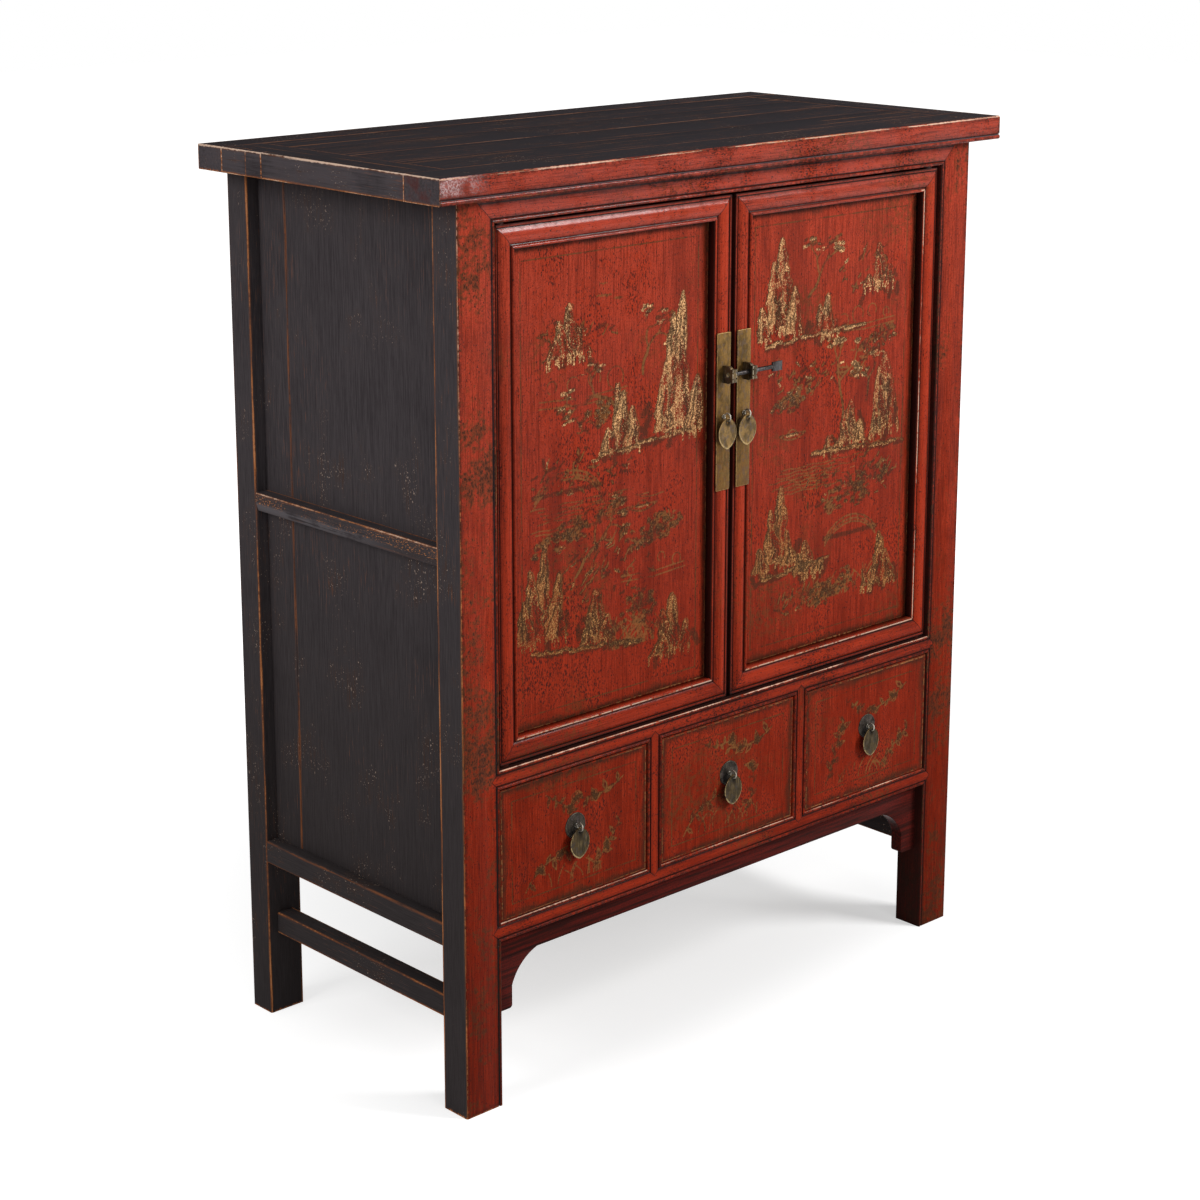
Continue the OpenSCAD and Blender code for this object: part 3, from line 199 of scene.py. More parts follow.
class Shader(Tree):
    """The node tree of one material."""

    def __init__(self, name: str) -> None:
        """Makes an empty material of that name."""
        self.material = bpy.data.materials.new(name)
        self.material.use_nodes = True
        super().__init__(self.material.node_tree)
        self.tree.nodes.clear()
        self.place = self.node("ShaderNodeTexCoord", {}, {}, "Object")

    def attribute(self, name: str, output: str = "Vector") -> Wire:
        """Reads an attribute of the mesh."""
        return self.node("ShaderNodeAttribute", {"attribute_name": name}, {}, output)

    def vector(self, operation: str, a: Any, b: Any, output: str = "Vector") -> Wire:
        """Adds a Vector Math node."""
        return self.node("ShaderNodeVectorMath", {"operation": operation}, {0: a, 1: b}, output)

    def parts(self, vector: Wire) -> tuple[Wire, Wire, Wire]:
        """Splits a vector into its three numbers."""
        made = self.node("ShaderNodeSeparateXYZ", {}, {0: vector}).socket.node
        return tuple(Wire(self, made.outputs[i]) for i in range(3))

    def noise(
        self, at: Wire, stretch: Point, detail: float = 3.0, rough: float = 0.55
    ) -> Wire:
        """Noise with a frequency, per metre, along each axis of a vector.

        Args:
            at: the vector that it follows.
            stretch: frequency along each axis.
            detail: number of finer layers.
            rough: weight of the finer layers.

        Returns:
            The noise, about 0.3 to 0.7.
        """
        scaled = self.vector("MULTIPLY", at, stretch)
        inputs = {"Vector": scaled, "Scale": 1.0, "Detail": detail, "Roughness": rough}
        return self.node("ShaderNodeTexNoise", {}, inputs)

    def mix(self, share: Any, a: Any, b: Any) -> Wire:
        """Colour a, turned into colour b by a share."""
        settings = {"data_type": "RGBA", "clamp_factor": True}
        return self.node("ShaderNodeMix", settings, {0: share, 6: a, 7: b}, 2)

    def lay(self, colour: Any, *layers: tuple[Any, Any]) -> Any:
        """Lays colours over a colour, one after another.

        Args:
            colour: the ground.
            layers: share and colour of each layer.

        Returns:
            The colour on top.
        """
        for share, over in layers:
            colour = self.mix(share, colour, over)
        return colour

    def sides(self) -> tuple[Wire, Wire, tuple[Wire, Wire, Wire], Wire]:
        """Measures from the sides of the box that a piece carries.

        Returns:
            Distances above its low corner, below its high corner, from the nearer side on
            each axis, and from the nearest arris.
        """
        low = self.vector("SUBTRACT", self.place, self.attribute("lo"))
        high = self.vector("SUBTRACT", self.attribute("hi"), self.place)
        near = self.parts(self.vector("MINIMUM", low, high))
        least = near[0].least(near[1]).least(near[2])
        most = near[0].most(near[1]).most(near[2])
        return low, high, near, near[0] + near[1] + near[2] - least - most

    def surface(
        self, colour: Any, roughness: Any, height: Wire, depth: float, **fixed: Any
    ) -> bpy.types.Material:
        """Ends the tree in a Principled BSDF.

        Args:
            colour: base colour.
            roughness: roughness.
            height: relief of the surface, 0 to 1.
            depth: real height of that relief.
            fixed: values for other sockets, with underscores for spaces.

        Returns:
            The finished material.
        """
        relief = {"Strength": 1.0, "Distance": depth, "Height": height}
        bump = self.node("ShaderNodeBump", {}, relief)
        inputs = {"Base Color": colour, "Roughness": roughness, "Normal": bump}
        inputs |= {key.replace("_", " "): value for key, value in fixed.items()}
        shaded = self.node("ShaderNodeBsdfPrincipled", {}, inputs)
        end = self.tree.nodes.new("ShaderNodeOutputMaterial")
        self.tree.links.new(shaded.socket, end.inputs["Surface"])
        return self.material


class Coat(Enum):
    """What covers a face of a wooden piece: black, bare and deep red shares."""

    RED = (0.0, 0.0, 0.0)
    BLACK = (1.0, 0.0, 0.0)
    BARE = (0.0, 1.0, 0.0)
    DEEP = (0.0, 0.0, 1.0)


class Profile(Enum):
    """Where the grooves of a moulded piece run."""

    PLAIN = 0
    RAIL = 1
    UPRIGHT = 2
    POST = 3
    DOOR = 4
    SLAB = 5
    SIDE = 6


@dataclass(frozen=True)
class Case:
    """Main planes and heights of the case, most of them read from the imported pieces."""

    face_y: float = field(default_factory=lambda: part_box("front_left_post")[0].y)
    open_half: float = field(default_factory=lambda: -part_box("front_left_post")[1].x)
    under_top: float = field(default_factory=lambda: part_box("front_top_rail")[1].z)
    total_h: float = field(default_factory=lambda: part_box("top_back_rail")[1].z)
    top_rail_h: float = 32 * MM
    middle: tuple[float, float] = field(
        default_factory=lambda: tuple(c.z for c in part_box("front_middle_rail"))
    )
    bottom: tuple[float, float] = field(
        default_factory=lambda: tuple(c.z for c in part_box("front_bottom_rail"))
    )
    divider_w: float = 27 * MM
    divider_x: float = 147.1667 * MM


CASE = Case()


@dataclass(frozen=True)
class Marks:
    """Patterns and distances that every covering draws on."""

    place: tuple[Wire, Wire, Wire]
    near: tuple[Wire, Wire, Wire]
    hair: Wire
    fine: Wire
    broad: Wire
    mottle: Wire
    grit: Wire
    speck: Wire
    ragged: Wire
    drift: Wire
    arris: Wire
    crest: Wire

    @classmethod
    def read(cls, s: Shader) -> "Marks":
        """Lays out the patterns.

        Args:
            s: the material's tree.

        Returns:
            The patterns.
        """
        grain = s.attribute("grain")
        _, high, near, arris = s.sides()
        ragged = s.noise(s.place, (150, 150, 150), 4, 0.65)
        drift = s.noise(s.place, (5.5, 5.5, 5.5), 2)
        slack = (ragged - 0.5) * (4 * MM) + (drift - 0.5) * (7 * MM)
        return cls(
            s.parts(s.place), near,
            s.noise(grain, (24, 780, 780), 3, 0.65),
            s.noise(grain, (9, 260, 260), 4, 0.62),
            s.noise(grain, (2.5, 34, 34), 3),
            s.noise(s.place, (11, 11, 9), 5, 0.68),
            s.noise(grain, (260, 520, 520), 3, 0.65),
            s.noise(s.place, (760, 760, 620), 3, 0.7),
            ragged, drift, arris + slack, s.parts(high)[2].most(near[1]),
        )

    def rails(self) -> Wire:
        """Share of a door's frame that belongs to its rails."""
        return (self.near[2] - self.near[0]).band(JOINT, -JOINT)

    def sill(self) -> Wire:
        """Share of a door's frame that belongs to its lowest rail."""
        over = CASE.middle[1] + SILL_H
        return self.rails() * self.place[2].band(over, over - 10 * MM)

    def uneven(self, distance: Wire) -> Wire:
        """Gives a distance a ragged edge."""
        return distance + (self.ragged - 0.5) * RAGGED

    def rub_and_highlight(self) -> Wire:
        """Uneven share for lines that hands have rubbed, also used to break up painted
        highlights and sheen.
        """
        return self.fine * 0.5 + self.drift * 0.3 + self.ragged * 0.2


@dataclass(frozen=True)
class Lacquer:
    """Old lacquer on wood: red, black and bare faces, worn arrises, dirt and painted shade in
    grooves and gaps, and painted light and reflections.
    """

    name: str
    coats: tuple[Coat, ...] = (Coat.RED, Coat.BARE)
    profile: Profile = Profile.PLAIN
    painted: bool = False
    gloss: float = 0.010
    rough: float = 0.20
    coat_rough: float = 0.17
    wear: float = 1.0
    red: tuple[Colour, Colour, Colour] = (
        (0.108, 0.0115, 0.0050), (0.378, 0.041, 0.018), (0.50, 0.064, 0.026)
    )
    # Red lower down: grime with painted shade, standing in for light that falls off towards the
    # floor
    low_red_grime_and_shade: Colour = (0.190, 0.0120, 0.0026)
    bright_red: Colour = (0.40, 0.036, 0.012)
    # Red higher up: painted light, a pinker haze of the lamps on the upper front
    high_red_painted_light: Colour = (0.50, 0.062, 0.030)
    deep: tuple[Colour, Colour] = ((0.030, 0.008, 0.0065), (0.105, 0.012, 0.009))
    black: tuple[Colour, Colour] = ((0.041, 0.034, 0.037), (0.080, 0.069, 0.073))
    # Black lower down: grime with painted shade
    low_black_grime_and_shade: Colour = (0.030, 0.0245, 0.0225)
    end_black: Colour = (0.115, 0.097, 0.106)
    # Painted reflection: a grey sheen on a side rail
    painted_sheen: Colour = (0.155, 0.140, 0.150)
    top_black: Colour = (0.028, 0.0245, 0.027)
    brown: Colour = (0.060, 0.028, 0.016)
    olive: Colour = (0.085, 0.040, 0.014)
    # Dark of dirt, also laid as painted shade in grooves, gaps and recesses
    soot_and_shade: Colour = (0.016, 0.009, 0.008)
    tan: Colour = (0.56, 0.215, 0.078)
    cream: Colour = (0.80, 0.59, 0.46)
    rust: Colour = (0.34, 0.105, 0.032)
    glare: Colour = (0.74, 0.58, 0.58)
    bare: tuple[Colour, Colour] = ((0.13, 0.068, 0.032), (0.27, 0.155, 0.078))
    gilt: tuple[Colour, Colour, Colour] = (
        (0.042, 0.018, 0.008), (0.25, 0.098, 0.029), (0.77, 0.37, 0.13)
    )
    bright_gilt: Colour = (1.0, 0.56, 0.25)
    ink: tuple[Colour, Colour] = ((0.034, 0.018, 0.009), (0.22, 0.090, 0.028))

    def build(self) -> bpy.types.Material:
        """Builds the material.

        Returns:
            The finished material.
        """
        s = Shader(self.name)
        m = Marks.read(s)
        share = s.parts(s.attribute("coat"))
        covers = {
            Coat.RED: self._red, Coat.BLACK: self._black,
            Coat.BARE: self._bare, Coat.DEEP: self._deep,
        }
        masks = {Coat.BLACK: share[0], Coat.BARE: share[1], Coat.DEEP: share[2]}
        height = m.hair * 0.35 + m.fine * 0.35 + m.ragged * 0.5
        colour = covers[self.coats[0]](s, m)
        if self.painted:
            colour, height = self._painting(s, m, colour, height)
        # grooves carry dirt and painted shade; seams are dark joints
        for lines in (self._grooves(m), self._seams(m)):
            if lines is not None:
                colour = s.mix(lines, colour, self.soot_and_shade)
                height = height - lines * 0.8
        for coat in self.coats[1:]:
            colour = s.mix(masks[coat], colour, covers[coat](s, m))
        rough = self.rough + m.mottle * 0.20 + m.arris.band(1.6 * MM, 0.3 * MM) * 0.2
        if Coat.BARE in self.coats:
            rough = rough + share[1] * 0.25
        shine = self._shine(m)
        coat = {} if shine is None else {
            "Coat_Weight": shine * (1.0 - share[1]), "Coat_Roughness": self.coat_rough
        }
        return s.surface(
            colour, rough, height, 0.35 * MM, Specular_IOR_Level=self.gloss, **coat
        )

    def _shine(self, m: Marks) -> Wire | None:
        """Gives the share of clear lacquer left on a moulded face.

        Args:
            m: the patterns.

        Returns:
            The share, or None on a plain piece.
        """
        if self.coats[0] is not Coat.RED:
            return None
        high = m.place[2].band(0.35, 1.15)
        kept = (m.ragged * 0.4 + m.mottle * 0.6).band(0.68, 0.40)
        if self.profile is Profile.SLAB:
            return kept * 0.26
        if self.profile is Profile.RAIL:
            return kept * (high * 0.28 + 0.03)
        if self.profile is Profile.DOOR:
            return kept * (m.rails() * (high * 0.24 + 0.04) + high * 0.06)
        return kept * high * 0.11

    def _wear_and_highlights(self, m: Marks) -> tuple[Wire, Wire]:
        """Finds where the red is rubbed through, and where crests and beads carry a painted
        highlight.

        Args:
            m: the patterns.

        Returns:
            Shares of faint wear and of bright, nearly unbroken lines that are partly wear and
            partly painted highlight.
        """
        x, _, z = m.place
        faint = m.arris.band(1.7 * MM, 0.4 * MM) * m.ragged.band(0.44, 0.56) * self.wear
        rub_and_highlight = m.rub_and_highlight()
        if self.profile in (Profile.RAIL, Profile.SLAB):
            reach = (1.7 if self.profile is Profile.RAIL else 2.8) * MM
            crest = m.uneven(m.crest).band(reach, reach * 0.4)
            low = z.band(CASE.middle[0], CASE.middle[0] - 20 * MM)
            return faint, crest * (rub_and_highlight - low * 0.045).band(0.43, 0.50) * (1.0 - low * 0.25)
        if self.profile is Profile.DOOR:
            bead = m.near[0].least(m.near[2]) - 29.8 * MM
            bead = bead.size().band(1.4 * MM, 0.5 * MM)
            stile = x.band(CASE.open_half - 42 * MM, CASE.open_half - 38 * MM)
            kept = (m.sill() * rub_and_highlight.band(0.40, 0.48)).most(stile * rub_and_highlight.band(0.46, 0.53) * 0.8)
            return faint, bead * kept * m.ragged.band(0.36, 0.46)
        if self.profile is Profile.POST:
            edge = m.uneven(m.near[0].most(m.near[1])).band(1.8 * MM, 0.8 * MM)
            outer = (x.size() - CASE.open_half).band(30 * MM, 40 * MM)
            return faint, edge * outer * rub_and_highlight.band(0.43, 0.50)
        return faint, faint * 0.0

    def _red(self, s: Shader, m: Marks) -> Wire:
        """Gives worn red lacquer, darker lower down with grime and painted shade, pinker higher
        up with painted light.
        """
        z, (dull, full, pale) = m.place[2], self.red
        cloud = m.broad * 0.25 + m.mottle * 0.75
        layers = [
            (cloud.band(0.36, 0.56) * 0.65 + 0.35, full),
            # darker towards the floor: grime and painted shade
            (z.band(1.15, 0.15) * 0.85, self.low_red_grime_and_shade),
            # pinker towards the top: painted light
            (z.band(0.85, 1.15) * 0.4, self.high_red_painted_light),
            (m.hair.band(0.50, 0.66) * 0.30, pale),
            (m.hair.band(0.51, 0.36) * 0.68, dull),
            (m.grit.band(0.50, 0.38) * 0.42, dull),
            (m.speck.band(0.50, 0.38) * 0.38, dull),
            (m.fine.band(0.44, 0.34) * 0.60, dull),
            (m.drift.band(0.52, 0.64) * m.ragged.band(0.44, 0.60) * 0.5, self.olive),
        ]
        if self.profile in (Profile.RAIL, Profile.UPRIGHT, Profile.DOOR):
            layers.append((m.broad.band(0.40, 0.60) * 0.45, self.bright_red))
        if self.profile is Profile.PLAIN:
            layers.append((m.mottle.band(0.50, 0.62) * 0.35, self.bright_red))
            layers.append((m.broad.band(0.48, 0.36) * 0.30, dull))
        stain = m.mottle.band(0.47, 0.62) * (0.35 if self.profile is Profile.POST else 0.72)
        dirty = m.arris.band(8.5 * MM, 1 * MM) * m.ragged.band(0.36, 0.60)
        for share in (
            stain * m.grit.band(0.47, 0.57), m.grit.band(0.585, 0.65) * 0.85,
            m.fine.band(0.66, 0.74) * 0.40, dirty * 0.75,
        ):
            layers.append((share, self.soot_and_shade))
        if self.profile is Profile.POST:
            cloud = m.mottle * 0.6 + m.ragged * 0.4
            low = z.band(0.45, 0.05) * 0.4
            layers += [
                (cloud.band(0.50, 0.57) * (0.40 + low), self.olive),
                ((cloud + m.speck * 0.5).band(0.78, 0.86) * 0.6, self.brown),
                ((cloud + m.grit * 0.5).band(0.82, 0.90) * 0.6, self.soot_and_shade),
                (low * m.fine.band(0.56, 0.44), self.soot_and_shade),
                # darker towards the foot of a post: grime and painted shade
                (z.band(0.55, 0.10) * 0.35, dull),
            ]
        if self.profile is Profile.SLAB:
            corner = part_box("top_front_rail")[0]
            end = (m.place[0] - corner.x).band(85 * MM, 20 * MM)
            end = end * z.band(corner.z + 8 * MM, corner.z + 14 * MM)
            web = (m.ragged - 0.5).size().band(0.045, 0.012).most(m.grit.band(0.55, 0.62) * 0.7)
            layers.append((end * 0.35, dull))
            layers.append((end * (web * 0.45 + 0.12) * m.mottle.band(0.40, 0.50), self.glare))
        # bright lines on crests and beads: worn red, partly a painted highlight of the lamp
        faint, bright = self._wear_and_highlights(m)
        layers.append((faint.most(bright) * 0.85, self.tan))
        if self.profile is Profile.POST:
            bright = bright * z.band(0.80, 1.12) * 0.8
        bright = bright * (m.fine * 0.6 + m.ragged * 0.4).band(0.42, 0.52) * 0.85
        return s.lay(dull, *layers, (bright, self.cream))

    def _deep(self, s: Shader, m: Marks) -> Wire:
        """Gives deep red lacquer."""
        return s.lay(
            self.deep[0],
            (m.fine.band(0.35, 0.66), self.deep[1]),
            (m.speck.band(0.50, 0.60) * 0.6, self.soot_and_shade),
            (m.arris.band(5 * MM, 1 * MM) * 0.5, self.soot_and_shade),
        )

    def _black(self, s: Shader, m: Marks) -> Wire:
        """Gives worn black lacquer, darker lower down with grime and painted shade."""
        z = m.place[2]
        slab = z.band(CASE.under_top - JOINT, CASE.under_top + JOINT)
        slab = slab * (m.fine * 0.5 + m.mottle * 0.5).band(0.38, 0.60)
        top = z.band(CASE.total_h - 3 * MM, CASE.total_h - 0.6 * MM)
        streak = m.hair.band(0.62, 0.69) * (m.drift + z.band(0.7, 1.2) * 0.06).band(0.47, 0.60)
        x, y = m.place[0].size(), m.place[1].size()
        low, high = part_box("top_front_rail")
        rim = (high.x - x).least(-low.y - y).band(6 * MM, 3 * MM)
        inner = 1.0 - top * (1.0 - rim) * 0.8
        scratch = s.noise(s.attribute("grain"), (1.6, 330, 330), 2, 0.5).band(0.66, 0.72)
        scuff = (x - high.x).band(-4 * MM, -1 * MM) * m.place[1].band(-0.17, -0.20)
        fade = m.rub_and_highlight()
        line = m.arris.band(1.8 * MM, 0.7 * MM) * self.wear * inner
        black = s.lay(
            self.black[0],
            ((m.hair * 0.65 + m.mottle * 0.35).band(0.28, 0.68), self.black[1]),
            # darker towards the floor: grime and painted shade
            (z.band(1.0, 0.2) * 0.55, self.low_black_grime_and_shade),
            (slab * 0.5, self.end_black),
            (top * 0.92, self.top_black),
            (m.mottle.band(0.50, 0.66) * m.hair.band(0.48, 0.62) * 0.6, self.brown),
            (streak * 0.42, self.rust),
            (m.grit.band(0.64, 0.69) * m.mottle.band(0.54, 0.64) * 0.7, self.cream),
            (top * scratch * m.drift.band(0.40, 0.55) * 0.5, self.tan),
            (scuff * m.mottle.band(0.46, 0.58) * 0.5, self.red[0]),
            (inner * m.arris.band(4 * MM, 0.8 * MM) * fade.band(0.44, 0.58) * 0.7, self.rust),
            (line * (fade.band(0.40, 0.50) * 0.65 + 0.3), self.rust),
            (line * fade.band(0.44, 0.52) * 0.9, self.tan),
        )
        if self.profile is Profile.SIDE:
            black = self._side_rail(s, m, black)
        pale = m.arris.band(1.2 * MM, 0.3 * MM) * fade.band(0.49, 0.55) * self.wear * inner
        edge = z.band(CASE.total_h - 6 * MM, CASE.total_h - 2 * MM)
        edge = m.arris.band(2.2 * MM, 1.2 * MM) * edge
        pale = pale * (z.band(CASE.under_top - 10 * MM, CASE.under_top) * 0.8 + 0.2)
        pale = pale.most(edge * rim * self.wear * fade.band(0.38, 0.46))
        return s.mix(pale * 0.85, black, self.cream)

    def _side_rail(self, s: Shader, m: Marks, black: Wire) -> Wire:
        """Adds the rubbed upper arris and a painted grey sheen, a reflection, on the lower half
        of a rail on the side.

        Args:
            s: the material's tree.
            m: the patterns.
            black: colour of the rail so far.

        Returns:
            The colour with the marks.
        """
        low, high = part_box("side_middle_rails")
        up = (m.place[2] - low.z) / (high.z - low.z)
        outer = m.place[0].size().band(high.x - 6 * MM, high.x - 2 * MM)
        rub_and_highlight = m.fine * 0.4 + m.mottle * 0.6
        # painted reflection on the lower half of the rail's outer face
        painted_sheen = up.band(0.55, 0.35) * rub_and_highlight.band(0.40, 0.50) * m.place[1].band(-0.14, 0.06)
        chips = up.band(0.95, 0.80) * up.band(0.30, 0.45) * m.grit.band(0.56, 0.62)
        top = (high.z - m.place[2]).most(high.x - m.place[0].size())
        line = m.uneven(top).band(1.8 * MM, 0.8 * MM)
        return s.lay(
            black,
            (outer * painted_sheen * 0.75, self.painted_sheen),
            (outer * chips * rub_and_highlight.band(0.46, 0.54), self.tan),
            (line * 0.85, self.tan),
            (line * rub_and_highlight.band(0.46, 0.56) * 0.8, self.cream),
        )

    def _bare(self, s: Shader, m: Marks) -> Wire:
        """Gives old bare wood."""
        return s.lay(
            self.bare[0],
            ((m.fine * 0.6 + m.broad * 0.4).band(0.36, 0.64), self.bare[1]),
            (m.hair.band(0.60, 0.72) * 0.5, self.brown),
            (m.mottle.band(0.5, 0.75) * 0.5, self.brown),
        )

    def _dirt_and_shade(self, m: Marks, distance: Wire, width: float = 1.3 * MM) -> Wire:
        """Gives a sharp dark line of dirt and painted shade with a soft dark stain round it.

        Args:
            m: the patterns.
            distance: signed distance from the line.
            width: half the width of the sharp line.

        Returns:
            The share of dirt and painted shade.
        """
        away = distance.size()
        soft = away.band(6.5 * MM, 0.5 * MM) * (m.fine * 0.5 + m.ragged * 0.5).band(0.38, 0.62)
        return (away.band(width * 1.5, width * 0.5) * 0.88).most(soft * 0.60)

    def _grooves(self, m: Marks) -> Wire | None:
        """Dirt and painted shade in the grooves beside the beads, and painted shade on faces
        that look into gaps and recesses.

        Args:
            m: the patterns.

        Returns:
            The share of dirt and painted shade, or None on a plain piece.
        """
        x, _, z = m.place
        if self.profile is Profile.RAIL:
            # painted shade: the rail's top face inside the gap under the doors
            ledge = m.near[2].band(0.6 * MM, 0.2 * MM) * m.near[1].band(1.2 * MM, 2.6 * MM)
            return self._dirt_and_shade(m, m.near[2] - BEAD).most(ledge * 0.95)
        if self.profile is Profile.UPRIGHT:
            return self._dirt_and_shade(m, m.near[0] - BEAD)
        if self.profile is Profile.POST:
            off = x.size() - CASE.open_half
            # painted shade on the post's face beside the opening
            return self._dirt_and_shade(m, off - BEAD).most(off.band(2.2 * MM, 0.9 * MM) * 0.8)
        if self.profile is Profile.SLAB:
            line = self._dirt_and_shade(m, z - CASE.under_top - 7.6 * MM)
            return line * m.near[1].band(4 * MM, 2 * MM)
        if self.profile is Profile.DOOR:
            edge = m.near[0].least(m.near[2])
            # painted shade: the frame's faces inside the panel's recess and along the door's
            # outer edges
            inner = edge.band(31.4 * MM, 32.4 * MM) * (1.0 - m.sill() * 0.8) * 0.88
            outer = self._dirt_and_shade(m, edge - 4.1 * MM).most(edge.band(2.4 * MM, 0.8 * MM) * 0.85)
            return outer.most(self._dirt_and_shade(m, edge - 26.6 * MM)).most(inner)
        return None

    def _seams(self, m: Marks) -> Wire | None:
        """Joint lines on the face of the front frame and of the doors.

        Args:
            m: the patterns.

        Returns:
            The share of the joint line, or None where there is none.
        """
        x, y, z = m.place
        if self.profile is Profile.DOOR:
            return (m.near[0] - m.near[2]).size().band(*SEAM) * 0.8
        if self.profile not in (Profile.RAIL, Profile.UPRIGHT, Profile.POST):
            return None
        side, slip, found = x.size(), 0.4 * MM, None
        for low, high in (CASE.middle, CASE.bottom):
            half = (high - low) / 2
            off = (z - (low + high) / 2).size()
            tip = side - CASE.open_half + off - half
            one = tip.size().band(*SEAM) * off.band(half + slip, half)
            found = one if found is None else found.most(one)
        start = CASE.under_top - CASE.top_rail_h
        rise = side - CASE.open_half - (z - start)
        mitre = rise.size().band(*SEAM) * z.band(start - slip, start)
        off = (side - CASE.divider_x).size()
        feet = off - (z - CASE.bottom[1]) - CASE.divider_w / 2
        heads = off + (z - CASE.middle[0]) - CASE.divider_w / 2
        ends = feet.size().band(*SEAM) * (z - CASE.bottom[1]).band(slip, 0.0)
        ends = ends.most(heads.size().band(*SEAM) * (z - CASE.middle[0]).band(-slip, 0.0))
        ends = ends * off.band(CASE.divider_w / 2 + 0.6 * MM, CASE.divider_w / 2)
        face = (y - CASE.face_y).band(6 * MM, 4 * MM)
        return found.most(mitre).most(ends) * face * 0.85

    def _painting(
        self, s: Shader, m: Marks, red: Wire, height: Wire
    ) -> tuple[Wire, Wire]:
        """Faded gilt and ink over the red ground.

        Args:
            s: the material's tree.
            m: the patterns.
            red: colour of the ground.
            height: relief of the ground.

        Returns:
            The colour and the relief with the painting.
        """
        crumb = s.noise(s.place, (560, 560, 480), 3, 0.75)
        vein = s.noise(s.place, (330, 330, 230), 3, 0.6)
        worn = s.noise(s.place, (24, 24, 18), 3, 0.6)
        mass, wash, line = (s.attribute(layer.value, "Fac") for layer in Layer)
        (black, brown), (dim, full, pale) = self.ink, self.gilt
        edge = m.near[0].least(m.near[2])
        rim = edge + (crumb - 0.5) * (20 * MM) + (worn - 0.5) * (30 * MM)
        shade = (wash + (worn - 0.5) * 1.4 + (crumb - 0.5) * 2.2).band(0.46, 0.86)
        near = mass.band(0.05, 0.5) * (crumb * 1.5 + worn).band(1.10, 1.40)
        leaf = (mass + (crumb - 0.5) * 3.0 + (worn - 0.5) * 2.2).band(0.52, 0.78)
        leaf = leaf * mass.band(0.02, 0.15)
        high = m.place[2].band(0.68, 0.98)
        low = m.place[2].band(CASE.middle[1], CASE.middle[0])
        gold = s.lay(
            full,
            (crumb.band(0.42, 0.60), pale),
            (high * crumb.band(0.40, 0.52), self.bright_gilt),
            ((vein - 0.5).size().band(0.060, 0.020) * 0.9, dim),
            (m.grit.band(0.50, 0.40) * (0.7 - high * 0.35), dim),
            (worn.band(0.60, 0.44) * (0.55 - high * 0.3), full),
            (crumb.band(0.46, 0.39) * 0.75, dim),
            (low * 0.6, brown),
        )
        mark = (line + (crumb - 0.5) * 2.6).band(1.35, 0.45) * worn.band(0.32, 0.46)
        ink = s.lay(
            black,
            ((worn * 0.5 + vein * 0.5).band(0.42, 0.58), brown),
            (mass.band(0.05, 0.4), black),
        )
        rule = (edge - 18.5 * MM).size().band(1.4 * MM, 0.6 * MM)
        rule = rule * (crumb + worn).band(0.82, 1.02)
        red = s.lay(
            red,
            # darker within about 11 mm of the edge: stain, with painted shade in the recess
            # round a door's panel
            (rim.band(11 * MM, 2 * MM) * 0.55, black),
            (shade * 0.66, black),
            (near * 0.68, black),
            (leaf * (high * 0.12 - low * 0.30 + 0.78), gold),
            (mark * 0.74, ink),
            (rule * 0.75, s.mix(0.6, ink, black)),
        )
        return red, height + leaf * 0.5


@dataclass(frozen=True)
class Metal:
    """Old metal: a body colour, darker patina, brighter rubbed edges that stand for painted
    highlights too, a warm painted reflection low on a plate and a painted shadow round a hole.
    """

    name: str
    body: Colour
    patina: Colour
    rubbed: Colour
    bloom: Colour = (0.085, 0.066, 0.062)
    # Painted reflection: a warm colour laid on the lower part of a plate
    warm_painted_reflection: Colour | None = None
    # Painted shadow in the hole of a leaf pull
    hole_shadow: Colour = (0.012, 0.009, 0.006)
    metallic: float = 1.0
    rough: float = 0.42

    def build(self) -> bpy.types.Material:
        """Builds the material.

        Returns:
            The finished material.
        """
        s = Shader(self.name)
        cloud = s.noise(s.place, (75, 75, 48), 5, 0.68)
        stain = s.noise(s.place, (210, 210, 150), 4, 0.7)
        brushed = s.noise(s.place, (900, 900, 60), 3)
        spot = s.noise(s.place, (620, 620, 620), 3, 0.7)
        colour = s.mix(cloud.band(0.40, 0.60), self.patina, self.body)
        low, _, _, arris = s.sides()
        # painted reflection: the lower part of a plate turns warm
        if self.warm_painted_reflection is not None:
            fall = s.parts(low)[2].band(0.16, 0.01) * stain.band(0.35, 0.55)
            colour = s.mix(fall * 0.7, colour, self.warm_painted_reflection)
        colour = s.lay(
            colour,
            (stain.band(0.50, 0.62) * 0.6, self.bloom),
            (brushed.band(0.50, 0.72) * 0.25, self.rubbed),
            (spot.band(0.56, 0.66) * 0.6, self.patina),
        )
        # brighter rims: rubbed brass, partly a painted highlight
        rim = arris.band(0.9 * MM, 0.2 * MM).most(s.attribute("rim", "Fac"))
        colour = s.lay(
            colour,
            (rim * stain.band(0.66, 0.44) * 0.8, self.rubbed),
            # painted shadow round the hole of a leaf pull
            (s.attribute("eye", "Fac") * 0.9, self.hole_shadow),
        )
        rough = self.rough + cloud * 0.25 - rim * 0.1
        height = brushed * 0.4 + spot * 0.6
        return s.surface(colour, rough, height, 0.12 * MM, Metallic=self.metallic)


